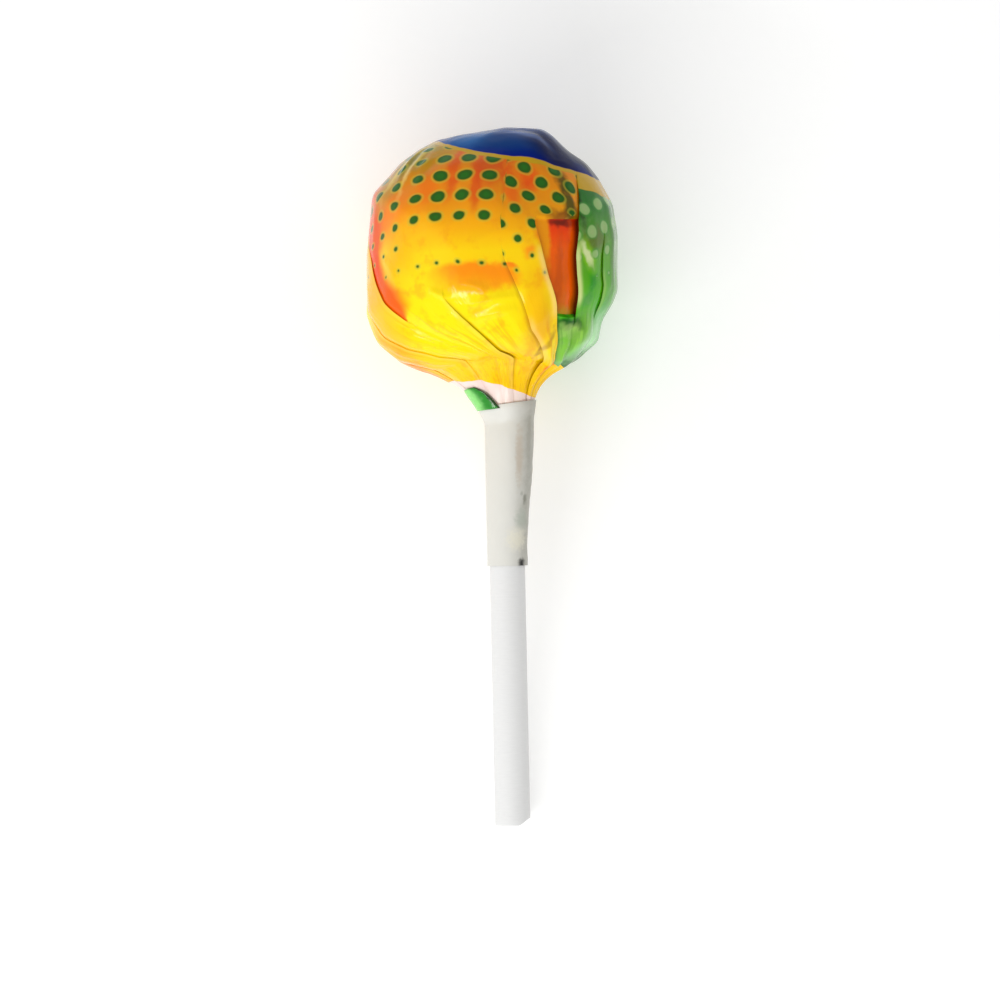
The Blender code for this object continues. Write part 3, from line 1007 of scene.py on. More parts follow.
@dataclass(frozen=True)
class InnerFilm:
    """White inner layer of the wrapper, unprinted film that shows under the printed hem.

    It is milky and smooth, with a faint warm tint from the print behind it.
    """

    name: str = "inner_white_film"
    pale: str = "#F5E9DF"
    tint: str = "#F6D2CC"
    # Colour of the painted shade in the pleats, carried down from the fold tucks.
    painted_shade: str = "#B48A5E"
    roughness: float = 0.32
    ior: float = 1.5
    cloud: float = 1.6

    def dress(self) -> Material:
        """Build the milky inner film.

        Returns:
            White film with pink and cream clouds, and painted shade in its pleats.
        """
        material, tree = empty_material(self.name)
        place = add_node(tree, "ShaderNodeAttribute", {"attribute_name": "place"}).outputs["Vector"]
        edges = add_node(tree, "ShaderNodeAttribute", {"attribute_name": "edges"})
        split = add_node(tree, "ShaderNodeSeparateXYZ", {}, {0: edges.outputs["Vector"]})
        cloud = add_node(tree, "ShaderNodeTexNoise", {}, {
            "Vector": place, "Scale": 1 / self.cloud, "Detail": 2.0})
        layers = [(cloud.outputs[0], self.tint), (split.outputs[1], self.painted_shade)]
        shader = add_node(tree, "ShaderNodeBsdfPrincipled", {}, {
            "Base Color": print_inks(tree, linear(self.pale), layers), "Roughness": self.roughness,
            "IOR": self.ior})
        add_node(tree, "ShaderNodeOutputMaterial", {}, {"Surface": shader.outputs[0]})
        return material


@dataclass(frozen=True)
class SleeveFilm:
    """White shrunk sleeve of thin satin film over the gathered wrapper and the stick.

    It looks off-white and slightly waxy, with greyish blotches on its right side, partly painted shade and
    partly the film below showing through.
    """

    name: str = "white_sleeve_film"
    pale: str = "#DDDCD5"
    grey: str = "#A5A398"
    brown: str = "#BFAF9C"
    cool: str = "#A9B2A4"
    cream: str = "#EDE8D2"
    mark: str = "#1C1C1A"
    smudge: str = "#77786A"
    roughness: float = 0.42
    ior: float = 1.46
    blot: float = 1.3
    loose_side: tuple[float, float] = (0.2, 3.4)
    grey_patches: float = 0.9
    grey_least: float = 0.35
    fray_scale: float = 2.2
    fray: float = 1.3
    mark_fade: tuple[float, float] = (0.9, 2.0)
    relief: float = 0.03
    marks: tuple[tuple[float, float, float, float, str, float], ...] = (
        (2.15, 17.45, 0.62, 0.66, "mark", 0.97),
        (2.5, 10.5, 0.34, 0.6, "smudge", 0.75),
        (2.0, 9.9, 0.22, 0.3, "smudge", 0.35),
        (2.1, 12.6, 1.1, 1.2, "cool", 0.6),
        # The brown band and the grey band are painted shade, along the crease of the pocket and at the
        # right edge.
        (1.6, 5.8, 0.5, 3.4, "brown", 0.6),
        (2.8, 4.0, 0.4, 2.6, "grey", 0.6),
        (1.4, 14.8, 1.6, 1.3, "cream", 0.6),
    )

    def dress(self) -> Material:
        """Build the sleeve's satin film.

        Returns:
            Off-white film, greyer on its loose right side by painted shade, with its few marks.
        """
        material, tree = empty_material(self.name)
        wrap = add_node(tree, "ShaderNodeAttribute", {"attribute_name": "wrap"}).outputs["Vector"]
        split = add_node(tree, "ShaderNodeSeparateXYZ", {}, {0: wrap})
        cloud = add_node(tree, "ShaderNodeTexNoise", {}, {
            "Vector": wrap, "Scale": 1 / self.blot, "Detail": 4.0, "Roughness": 0.6})
        loose = add_node(tree, "ShaderNodeMapRange", SMOOTH, {
            "Value": split.outputs[0], "From Min": self.loose_side[0], "From Max": self.loose_side[1]})
        uneven = add_node(tree, "ShaderNodeMath", {"operation": "MULTIPLY_ADD"}, {
            0: cloud.outputs[0], 1: self.grey_patches, 2: self.grey_least})
        patchy = add_node(tree, "ShaderNodeMath", {"operation": "MULTIPLY"}, {
            0: loose.outputs[0], 1: uneven.outputs[0]})
        frayed = add_node(tree, "ShaderNodeTexNoise", {}, {
            "Vector": wrap, "Scale": self.fray_scale, "Detail": 3.0})
        # Painted shade greys the loose right side in blotches, partly the film below showing through.
        layers: Inks = [(patchy.outputs[0], self.grey)]
        for across, down, width, height, ink, strength in self.marks:
            spot = add_node(tree, "ShaderNodeMapping", {"vector_type": "TEXTURE"}, {
                "Vector": wrap, "Location": (across, down, 0.0), "Scale": (width, height, 1.0)})
            away = add_node(tree, "ShaderNodeVectorMath", {"operation": "LENGTH"}, {0: spot.outputs[0]})
            ragged = add_node(tree, "ShaderNodeMath", {"operation": "MULTIPLY_ADD"}, {
                0: frayed.outputs[0], 1: self.fray, 2: away.outputs["Value"]})
            fade = add_node(tree, "ShaderNodeMapRange", SMOOTH, {
                "Value": ragged.outputs[0], "From Min": self.mark_fade[0],
                "From Max": self.mark_fade[1], "To Min": strength, "To Max": 0.0})
            layers.append((fade.outputs[0], getattr(self, ink)))
        colour = print_inks(tree, linear(self.pale), layers)
        relief = add_node(tree, "ShaderNodeBump", {}, {
            "Strength": 1.0, "Distance": self.relief * MM, "Height": cloud.outputs[0]})
        shader = add_node(tree, "ShaderNodeBsdfPrincipled", {}, {
            "Base Color": colour, "Roughness": self.roughness, "IOR": self.ior,
            "Normal": relief.outputs[0]})
        add_node(tree, "ShaderNodeOutputMaterial", {}, {"Surface": shader.outputs[0]})
        return material


@dataclass(frozen=True)
class StickPaper:
    """Tightly rolled white paper, calendered smooth, as lollipop sticks are made.

    It is matt and a little cool, with fibres that run round it and the end of the roll on its cut face.
    """

    name: str = "rolled_white_paper"
    pale: str = "#E5E5E4"
    fibre: str = "#E1E1E0"
    line: str = "#CBCBCA"
    roughness: float = 0.55
    ior: float = 1.47
    # Real fibres are about 0.03 mm wide and a rolled layer 0.1 mm thick; both are drawn coarser.
    fibre_length: float = 1.2
    fibre_width: float = 0.18
    layer: float = 0.16
    fibre_range: tuple[float, float] = (0.35, 0.75)
    line_share: float = 0.16
    line_strength: float = 0.8
    end_from: float = 0.01
    relief: float = 0.004

    def dress(self) -> Material:
        """Build the stick's paper.

        Returns:
            Matt white paper with fine fibres and the roll's turns on its end.
        """
        material, tree = empty_material(self.name)
        wrap = add_node(tree, "ShaderNodeAttribute", {"attribute_name": "wrap"}).outputs["Vector"]
        stretched = add_node(tree, "ShaderNodeMapping", {}, {
            "Vector": wrap, "Scale": (1 / self.fibre_length, 1 / self.fibre_width, 1.0)})
        fibres = add_node(tree, "ShaderNodeTexNoise", {}, {
            "Vector": stretched.outputs[0], "Scale": 1.0, "Detail": 3.0, "Roughness": 0.6})
        cast = add_node(tree, "ShaderNodeMapRange", {}, {
            "Value": fibres.outputs[0], "From Min": self.fibre_range[0],
            "From Max": self.fibre_range[1]})
        end = add_node(tree, "ShaderNodeSeparateXYZ", {}, {0: wrap})
        turns = add_node(tree, "ShaderNodeMath", {"operation": "DIVIDE"}, {
            0: end.outputs[2], 1: self.layer})
        saw = add_node(tree, "ShaderNodeMath", {"operation": "PINGPONG"}, {0: turns.outputs[0], 1: 0.5})
        thin = add_node(tree, "ShaderNodeMapRange", SMOOTH, {
            "Value": saw.outputs[0], "From Min": 0.0, "From Max": self.line_share,
            "To Min": self.line_strength, "To Max": 0.0})
        on_end = add_node(tree, "ShaderNodeMath", {"operation": "GREATER_THAN"}, {
            0: end.outputs[2], 1: self.end_from})
        mask = add_node(tree, "ShaderNodeMath", {"operation": "MULTIPLY"}, {
            0: thin.outputs[0], 1: on_end.outputs[0]})
        layers = [(cast.outputs[0], self.fibre), (mask.outputs[0], self.line)]
        relief = add_node(tree, "ShaderNodeBump", {}, {
            "Strength": 1.0, "Distance": self.relief * MM, "Height": fibres.outputs[0]})
        shader = add_node(tree, "ShaderNodeBsdfPrincipled", {}, {
            "Base Color": print_inks(tree, linear(self.pale), layers), "Roughness": self.roughness,
            "IOR": self.ior, "Normal": relief.outputs[0]})
        add_node(tree, "ShaderNodeOutputMaterial", {}, {"Surface": shader.outputs[0]})
        return material


@dataclass(frozen=True)
class FloorBoard:
    """Pale matt studio board with a faint glow, as on a light table, so that it stays near white."""

    name: str = "pale_studio_board"
    pale: str = "#F0F0EF"
    grain: str = "#ECECEB"
    roughness: float = 0.9
    glow: float = 0.28
    # A grain of about 1 mm, coarser than that of a real board.
    grains_in_a_metre: float = 900.0

    def dress(self) -> Material:
        """Build the board's surface.

        Returns:
            Near-white matt board with a faint grain.
        """
        material, tree = empty_material(self.name)
        spot = add_node(tree, "ShaderNodeTexCoord")
        grain = add_node(tree, "ShaderNodeTexNoise", {}, {
            "Vector": spot.outputs["Object"], "Scale": self.grains_in_a_metre})
        colour = print_inks(tree, linear(self.pale), [(grain.outputs[0], self.grain)])
        shader = add_node(tree, "ShaderNodeBsdfPrincipled", {}, {
            "Base Color": colour, "Roughness": self.roughness,
            "Emission Color": linear("#FFFFFF"), "Emission Strength": self.glow})
        add_node(tree, "ShaderNodeOutputMaterial", {}, {"Surface": shader.outputs[0]})
        return material


def build_piece(
    name: str,
    rows: Array,
    pose: LyingPose,
    materials: Sequence[Material],
    attributes: Mapping[str, Array],
    face_materials: Array | None = None,
    sharp: float = 50.0,
    closed: bool = True,
) -> Piece:
    """Skin a grid of rows into a piece.

    Args:
        name: Name of the piece.
        rows: Upright points in metres, as rows, columns and coordinates.
        pose: How the piece is laid down.
        materials: Materials of the piece.
        attributes: Values of each point, by name, with one or three numbers a point.
        face_materials: Material number of each quad, as rows and columns.
        sharp: Angle in degrees above which an edge stays sharp.
        closed: Whether the last column joins the first, as in a tube.

    Returns:
        The new object.
    """
    count_rows, count_columns = rows.shape[:2]
    points = pose.lay_down(rows.reshape(-1, 3))
    number = np.arange(count_rows * count_columns).reshape(count_rows, count_columns)
    here, beside = (number, np.roll(number, -1, axis=1)) if closed else (number[:, :-1], number[:, 1:])
    quads = np.stack((here[:-1], here[1:], beside[1:], beside[:-1]), axis=-1).reshape(-1, 4)
    mesh = bpy.data.meshes.new(name)
    mesh.from_pydata(points.tolist(), [], quads.tolist())
    for label, values in attributes.items():
        kind = "FLOAT_VECTOR" if values.ndim == 3 else "FLOAT"
        layer = mesh.attributes.new(label, kind, "POINT")
        key = "vector" if values.ndim == 3 else "value"
        layer.data.foreach_set(key, np.ascontiguousarray(values, dtype=np.float32).ravel())
    for material in materials:
        mesh.materials.append(material)
    if face_materials is not None:
        mesh.polygons.foreach_set("material_index", face_materials.astype(np.int32).ravel())
    clean = bmesh.new()
    clean.from_mesh(mesh)
    bmesh.ops.dissolve_degenerate(clean, dist=NO_LENGTH, edges=clean.edges[:])
    clean.to_mesh(mesh)
    clean.free()
    mesh.shade_smooth()
    mesh.set_sharp_from_angle(angle=math.radians(sharp))
    mesh.validate()
    piece = bpy.data.objects.new(name, mesh)
    bpy.context.scene.collection.objects.link(piece)
    LOG.info("%s: %d points, %d faces", name, len(mesh.vertices), len(mesh.polygons))
    return piece


@dataclass(frozen=True)
class Column:
    """One column of the film's grid: inside a panel, or one of the four that turn a fold's edge."""

    panel: int
    fold: int
    share: float = 0.0
    flat: float = 0.0
    lapped: float = 0.0
    level: float = 0.0
    drop: float = 0.0
    # Strength of the painted highlight on the rim and of the painted shade in the tuck.
    rim: float = 0.0
    painted_shade: float = 0.0
    lap: bool = False


CREASES = (
    Crease(((-31, 105), (-27, 106), (-20, 109.2)), 0.36, 0.36),
    Crease(((-60, 117), (-45, 122), (-22, 129), (-10, 136)), -0.20, 0.9),
    Crease(((-17, 103.5), (-12, 102.4), (-7, 103.6), (-1, 107.5)), 0.26, 0.40),
    Crease(((-13, 113.5), (-6, 111), (2, 109.4), (12, 108.6)), 0.26, 0.40),
    Crease(((-13, 121.5), (-6, 118.8), (2, 116.2), (12, 114.4)), 0.24, 0.42),
    Crease(((-20, 117), (-12, 115.6), (-4, 114)), -0.10, 0.5),
    Crease(((-38, 38), (-48, 48), (-60, 60)), 0.16, 0.7),
    Crease(((-30, 36), (-42, 47), (-52, 58)), -0.12, 0.7),
    Crease(((-70, 30), (-64, 42), (-58, 56)), 0.22, 0.4),
    Crease(((-60, 32), (-54, 44), (-50, 58)), 0.18, 0.4),
    Crease(((-48, 34), (-45, 46), (-43, 58)), 0.12, 0.45),
    Crease(((-34, 60), (-30, 72), (-30, 84)), 0.10, 0.6),
    Crease(((-20, 52), (-12, 62), (-8, 76)), 0.08, 0.6),
    Crease(((9, 42), (7.5, 60), (6, 78)), -0.14, 0.4),
    Crease(((14, 66), (18, 76), (20, 88)), 0.10, 0.5),
    Crease(((-60, 88), (-52, 96), (-47, 106)), 0.14, 0.5),
    Crease(((-44, 92), (-38, 100), (-35, 112)), 0.10, 0.7),
    Crease(((30, 20), (24, 32), (20, 42)), 0.18, 1.2),
    Crease(((5, 12), (-10, 24), (-20, 34)), 0.12, 1.4),
    Crease(((60, 15), (52, 30), (47, 44)), -0.2, 1.1),
    Crease(((-75, 62), (-72, 75), (-72, 88)), 0.10, 1.0),
    Crease(((55, 70), (54, 85), (52, 100)), 0.12, 0.7),
    Crease(((70, 65), (72, 85), (71, 105)), 0.16, 0.7),
    Crease(((80, 60), (84, 80), (82, 100)), -0.14, 0.8),
    Crease(((12, 96), (16, 108), (24, 124)), 0.08, 0.6),
    Crease(((26, 104), (30, 114), (33, 124)), -0.10, 0.5),
    Crease(((31, 72), (33, 90), (37, 112)), 0.10, 0.5),
    Crease(((5, 130), (14, 138), (30, 146)), 0.14, 0.7),
    Crease(((-30, 134), (-12, 141), (4, 148)), 0.12, 0.8),
    Crease(((55, 124), (58, 132), (66, 144)), 0.14, 0.8),
    Crease(((-80, 100), (-74, 112), (-66, 124)), 0.10, 1.0),
    Crease(((-90, 110), (-82, 124), (-70, 136)), 0.12, 0.8),
)


@dataclass
class WrappedHead:
    """The ball's film: printed outside, white inside where it passes the hem into the sleeve."""

    shape: WrapperShape
    stick_x: float = 0.98 * MM
    stick_radius: float = 1.92 * MM
    neck_z: float = -15.96 * MM
    neck_slope: float = math.tan(math.radians(6.5))
    neck_left: float = 2.85 * MM
    neck_right: float = 3.55 * MM
    neck_share: float = 0.2
    neck_inset: float = 0.20 * MM
    ball_rings: int = 205
    cone_rings: int = 24
    inner_rings: int = 14
    hem_middle: float = 0.62
    hem_right: float = 0.33
    hem_left: float = 0.30
    hem_wave: float = 0.03
    hem_waves_round: float = 2.2
    hem_turn_in: float = 0.05
    lip_fold: float = 1.6
    inner_gap: float = 0.03 * MM
    tail_rings: tuple[tuple[float, float], ...] = ((0.25, 0.35), (0.6, 0.75), (1.0, 0.9))
    hem_depth: float = 0.28 * MM
    hem_lip: float = 0.10 * MM
    cone_sag: float = 0.45 * MM
    tail: float = 1.6 * MM
    edge_room: float = 0.20
    tuck: float = 0.26
    lip: float = 0.07
    # Reach of the rim's painted highlight, and reach and strength of the painted shade beside a tuck.
    rim_reach: float = 0.34
    tuck_reach: float = 0.22
    tuck_shade: float = 0.35
    wrinkle: float = 0.06
    neck_wrinkle: float = 0.14
    left_dots: float = 0.22
    dot_size: float = 0.31
    green_dot_size: float = 0.30
    green_fade: tuple[float, float] = (80.0, 106.0)
    # How much of their radius the dots lose between two angles from the top.
    dot_fades: tuple[tuple[float, float, float], ...] = ((0.06, 62, 74), (0.17, 74, 96), (0.12, 97, 106))
    strip_dots_end: tuple[float, float] = (71.0, 73.0)
    left_dots_from: tuple[float, float] = (30.0, 46.0)
    bare_side: tuple[float, float] = (46.0, 40.0)
    gold_strength: float = 0.92
    gold_top: tuple[float, float] = (74.0, 86.0)
    red_reach: tuple[tuple[float, ...], tuple[float, ...]] = (
        (60, 66, 75, 86, 98, 105, 111, 117, 119), (0.02, 0.8, 2.0, 2.6, 3.0, 4.2, 3.0, 0.5, 0.02),
    )
    green_foot: float = 147.5
    gold_from: float = 62.0
    gold_to: float = 46.0
    bare_top: tuple[float, float] = (76.0, 77.5)
    bare_foot: tuple[float, float] = (88.5, 90.5)
    pull_level: float = 105.0
    pull_stretch: float = 0.16
    cone_pull: float = 0.1

    def columns(self) -> list[Column]:
        """List the grid's columns in order of azimuth.

        Returns:
            Four columns for each fold's edge and, after it, those of the panel to its right.
        """
        columns = []
        count = len(self.shape.folds)
        for index, fold in enumerate(self.shape.folds):
            left, right = (index - 1) % count, index
            if fold.over is Over.LEFT:
                turn = (
                    Column(left, index, 0, -0.15, -0.04, 1, 0.0, 0.9, 0.0, True),
                    Column(left, index, 0, -0.05, 0.06, 1, 0.5, 0.8, 0.0, True),
                    Column(left, index, 0, 0.05, 0.03, 1, 1.0, 0.0, 1.0, True),
                    Column(right, index, 0, 0.15, -self.tuck, -1, 0.0, 0.0, 1.0, True),
                )
            else:
                turn = (
                    Column(left, index, 0, -0.15, self.tuck, -1, 0.0, 0.0, 1.0, True),
                    Column(right, index, 0, -0.05, -0.03, 1, 1.0, 0.0, 1.0, True),
                    Column(right, index, 0, 0.05, -0.06, 1, 0.5, 0.8, 0.0, True),
                    Column(right, index, 0, 0.15, 0.04, 1, 0.0, 0.9, 0.0, True),
                )
            columns += turn
            for step in range(fold.columns + 1):
                even = step / fold.columns
                share = even - 0.55 * math.sin(2 * math.pi * even) / (2 * math.pi)
                columns.append(Column(index, index, share))
        return columns

    def lay_columns(self, columns: Sequence[Column], polar: Array) -> dict[str, Array]:
        """Place every column at every angle from the top.

        Args:
            columns: Columns of the grid.
            polar: Angles from the top.

        Returns:
            Azimuth in degrees, lift in mm, and the edge values (the rim's painted highlight and the tuck's
            painted shade), each as rows and columns.
        """
        shape = self.shape
        ball = shape.radius / MM
        width = np.maximum(np.sin(np.radians(polar)), 0.02) * ball
        azimuths = [shape.fold_azimuth(index, polar) for index in range(len(shape.folds) + 1)]
        depths = [shape.fold_share * fold.depth_at(polar, shape.fold_run) for fold in shape.folds]
        depths.append(depths[0])
        signed = [depth * fold.over.value for depth, fold in zip(depths, shape.folds + shape.folds[:1])]
        bow = shape.panel_bow / MM * smoothstep(shape.bow_start, shape.ball_end, polar)
        dip = shape.strip_depth / MM * smoothstep(*shape.strip_top, polar)
        dip = dip * (1 - smoothstep(*shape.strip_tuck, polar))
        room = np.minimum(np.degrees(self.edge_room / width), 5.0)
        azimuth, lift, rim, painted_shade = [], [], [], []
        for column in columns:
            depth = depths[column.fold]
            lapped = smoothstep(0.02, 0.16, depth)
            fold = shape.folds[column.fold]
            if column.lap:
                offset = column.flat * (1 - lapped) + column.lapped * lapped
                azimuth.append(azimuths[column.fold] + np.clip(np.degrees(offset / width), -4, 4))
                thick = np.minimum(self.lip, depth * 0.4)
                rise = column.level * depth / 2 - column.drop * thick
                lift.append(rise - (dip if column.panel == shape.strip_panel else 0))
                rim.append(column.rim * lapped * fold.rim_at(polar))
                painted_shade.append(column.painted_shade * lapped * fold.painted_shade)
                continue
            first, last = azimuths[column.fold] + room, azimuths[column.fold + 1] - room
            share = column.share
            azimuth.append(first + share * (last - first))
            laid = (share - 1) * signed[column.fold] / 2 + share * signed[column.fold + 1] / 2
            belly = bow * 4 * share * (1 - share)
            lift.append(laid + belly - (dip if column.panel == shape.strip_panel else 0))
            span = np.radians(last - first) * width
            rim.append(self.near_edge(column, span, depths, polar, 1, self.rim_reach))
            painted_shade.append(self.tuck_shade * self.near_edge(column, span, depths, polar, -1, self.tuck_reach))
        return {
            "azimuth": np.stack(azimuth, axis=1), "lift": np.stack(lift, axis=1),
            "rim": np.stack(rim, axis=1), "painted_shade": np.stack(painted_shade, axis=1),
        }

    def near_edge(
        self, column: Column, span: Array, depths: Sequence[Array], polar: Array, level: int, reach: float
    ) -> Array:
        """How near a column is to an edge where its panel lies on top, for the painted highlight, or below,
        for the painted shade.

        Args:
            column: Column of a panel.
            span: Width of the panel in mm.
            depths: Depth of each fold in mm.
            polar: Angles from the top.
            level: 1 for edges where the panel is on top, -1 for edges where it is below.
            reach: How far the edge shows, in mm.

        Returns:
            Values from 0 to 1 down the column.
        """
        folds = self.shape.folds
        near = np.zeros_like(span)
        for number, side, away in ((column.fold, -1, column.share), (column.fold + 1, 1, 1 - column.share)):
            fold = folds[number % len(folds)]
            if side * fold.over.value != level:
                continue
            share = fold.rim_at(polar) if level > 0 else fold.painted_shade
            shown = share * smoothstep(0.04, 0.16, depths[number])
            near = np.maximum(near, shown * np.exp(-(away * span / reach) ** 2))
        return near

    def pull_values(self, columns: Sequence[Column], polar: Array) -> Array:
        """Give each point a place that stays the same across, on its way down between two folds.

        Args:
            columns: Columns of the grid.
            polar: Angle from the top of each row.

        Returns:
            Place in mm on a tube as wide as the ball, for wrinkles that run with the folds.
        """
        shape = self.shape
        level = np.array([self.pull_level])
        starts = [float(shape.fold_azimuth(index, level)[0]) for index in range(len(shape.folds) + 1)]
        across = []
        for column in columns:
            share = column.share
            first = starts[column.fold]
            across.append(first if column.lap else first + share * (starts[column.fold + 1] - first))
        turn = np.radians(np.array(across))[None, :] + 0 * polar[:, None]
        ball = shape.radius / MM
        down = np.radians(polar)[:, None] * ball * self.pull_stretch + 0 * turn
        return np.stack((ball * np.sin(turn), -ball * np.cos(turn), down), axis=-1)

    def wrinkles(self, unit: Array, polar: Array, pull: Array) -> Array:
        """Give the small wrinkles' height over the film.

        Args:
            unit: Directions on the ball, as rows and columns.
            polar: Angle from the top of each row.
            pull: Place along the pull of the folds.

        Returns:
            Height in mm.
        """
        ball = self.shape.radius / MM
        height = np.zeros(unit.shape[:-1])
        for crease in CREASES:
            height += crease.height_at(unit, ball)
        neck = smoothstep(104, 150, polar)
        rows, columns = height.shape
        for row in range(rows):
            for column in range(columns):
                x, y, z = unit[row, column] * ball
                soft = noise.noise((x * 0.33, y * 0.33, z * 0.2))
                fine = noise.noise((x * 0.9 + 7, y * 0.9, z * 0.28))
                height[row, column] += self.wrinkle * (soft + 0.45 * fine)
                if neck[row] > 0:
                    gather = noise.noise([float(part) * 0.55 for part in pull[row, column]])
                    height[row, column] += self.neck_wrinkle * neck[row] * gather
        return height

    def ring_points(self, azimuth: Array, radius: Array, height: Array | float) -> Array:
        """Points round the stick's axis.

        Args:
            azimuth: Degrees round the axis.
            radius: Metres from the axis.
            height: Metres along the axis.

        Returns:
            Points in the last axis of the array.
        """
        a = np.radians(azimuth)
        return np.stack((self.stick_x + radius * np.sin(a), -radius * np.cos(a), height + 0 * a), axis=-1)

    def mouth(self, azimuth: Array) -> Array:
        """Reach of the sleeve's flared mouth from the stick's axis."""
        return self.neck_left + rightness(azimuth) * (self.neck_right - self.neck_left)

    def neck_height(self, x: Array) -> Array:
        """Height of the sleeve's slanted top edge at a place across the neck."""
        return self.neck_z + self.neck_slope * (x - self.stick_x)

    def cone_rows(self, start: Array, azimuth: Array, lift: Array) -> tuple[list[Array], list[bool]]:
        """Close the film in from the ball to the neck, with the printed hem over the inner film.

        Args:
            start: Last ring of points on the ball.
            azimuth: Azimuths of that ring.
            lift: Lifts of that ring in mm.

        Returns:
            Rings of points, and whether each is inner film.
        """
        reach = self.mouth(azimuth) - self.neck_inset + lift * MM * self.neck_share
        neck = self.ring_points(azimuth, reach, 0.0)
        neck[:, 2] = self.neck_height(neck[:, 0])
        round_hem = np.radians(azimuth)
        round_hem = self.hem_waves_round * np.stack((np.sin(round_hem), np.cos(round_hem)), axis=-1)
        waves = np.array([noise.noise((across, along, 5)) for across, along in round_hem])
        side = np.sin(np.radians(azimuth))
        hem = self.hem_middle + np.where(side > 0, self.hem_right, self.hem_left) * side
        hem = hem + self.hem_wave * waves
        rings, inner = [], []

        def add(share: Array, sink: Array | float, is_inner: bool) -> None:
            """Add one ring at a share of the way to the neck, sunk inward by some metres."""
            point = start + share[:, None] * (neck - start)
            inward = np.stack((self.stick_x - point[:, 0], -point[:, 1], 0 * share), axis=-1)
            inward /= np.linalg.norm(inward, axis=-1, keepdims=True)
            sag = self.cone_sag * 4 * share * (1 - share)
            ring = point + inward * (sag + sink)[:, None]
            ring[:, 2] += sag / 2
            rings.append(ring)
            inner.append(is_inner)

        for step in range(1, self.cone_rings + 1):
            add(hem * step / self.cone_rings, 0.0 * hem, False)
        add(hem, 0.0 * hem + self.hem_lip, True)
        add(hem - self.hem_turn_in, 0.0 * hem + self.lip_fold * self.hem_lip, True)
        for step in range(self.inner_rings + 1):
            share = hem + (1 - hem) * step / self.inner_rings
            add(share, self.hem_depth * (1 - share) + self.inner_gap, True)
        for sunk, narrow in self.tail_rings:
            ring = self.ring_points(azimuth, reach - narrow * (reach - self.stick_radius), 0.0)
            ring[:, 2] = neck[:, 2] - sunk * self.tail
            rings.append(ring)
            inner.append(True)
        return rings, inner

    def dot_sizes(self, azimuth: Array, polar: Array, panel: int) -> Array:
        """Give the halftone dots' radius, in cells of the grid.

        Args:
            azimuth: Azimuths down one column.
            polar: Angles from the top.
            panel: Number of the panel.

        Returns:
            Radius of the dots, which shrink down the ball.
        """
        zone = self.shape.folds[panel].zone
        if zone is Zone.GREEN:
            return self.green_dot_size * (1 - smoothstep(*self.green_fade, polar))
        size = self.dot_size + 0 * polar
        for loss, top, foot in self.dot_fades:
            size = size - loss * smoothstep(top, foot, polar)
        if zone is Zone.STRIP:
            return size * (1 - smoothstep(*self.strip_dots_end, polar))
        if panel < 2:
            size = size * (1 - self.left_dots * smoothstep(*self.left_dots_from, -azimuth))
            bare = smoothstep(*self.bare_top, polar) * (1 - smoothstep(*self.bare_foot, polar))
            size = size * (1 - bare * smoothstep(*self.bare_side, -azimuth))
        return size

    def build(self, materials: Sequence[Material]) -> Piece:
        """Make the film's mesh with its print values.

        Args:
            materials: Yellow, green and orange printed film, then the inner film.

        Returns:
            The dressed piece.
        """
        shape = self.shape
        polar = np.linspace(0.25, shape.ball_end, self.ball_rings)
        columns = self.columns()
        laid = self.lay_columns(columns, polar)
        unit = direction(laid["azimuth"], polar[:, None])
        pull = self.pull_values(columns, polar)
        lift = laid["lift"] + self.wrinkles(unit, polar, pull)
        free = 1 - shape.pressed_share(unit)
        ball = unit * (shape.film_radius(unit) + lift * MM * free)[..., None]
        ball = shape.press_flat(ball)
        ball[0] = ball[0].mean(axis=0)
        cone, inner = self.cone_rows(ball[-1], laid["azimuth"][-1], laid["lift"][-1])
        rows = np.concatenate((ball, np.stack(cone)))
        below = len(cone)

        place = np.concatenate((unit * shape.radius / MM, np.stack(cone) / MM))
        pull = carry_down(pull, below)
        pull[len(polar):, :, 2] += self.cone_pull * np.arange(1, below + 1)[:, None]
        gold = self.flap_share(columns, laid["azimuth"], polar)
        # The edges attribute holds the rims' painted highlight, the tucks' painted shade and the flap's
        # printed gold.
        edges = carry_down(np.stack((laid["rim"], laid["painted_shade"], gold), axis=-1), below)
        edges[-below + self.cone_rings:, :, 0] = 0
        sheet = carry_down(self.sheet_values(columns, unit, laid["azimuth"], polar), below)
        sheet[len(polar):, :, 2] = 0
        gap = carry_down(self.gap_values(columns, laid["azimuth"], polar), below)
        faces = self.face_zones(columns, polar, inner)
        piece = build_piece(
            "film_wrapper", rows, shape.pose, materials,
            {"place": place, "edges": edges, "sheet": sheet, "flap_gap": gap, "pull": pull}, faces,
        )
        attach(piece, "root")
        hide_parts("wrapped_head")
        return piece

    def flap_share(self, columns: Sequence[Column], azimuth: Array, polar: Array) -> Array:
        """Where the left flap's gold shows: the last panel, below the flap's start and not far round."""
        last = len(self.shape.folds) - 1
        on_flap = np.array([1.0 if column.panel == last else 0.0 for column in columns])[None, :]
        beside = smoothstep(self.gold_to, self.gold_from, 360 - np.where(on_flap > 0, azimuth % 360, 0))
        return self.gold_strength * smoothstep(*self.gold_top, polar)[:, None] * on_flap * beside

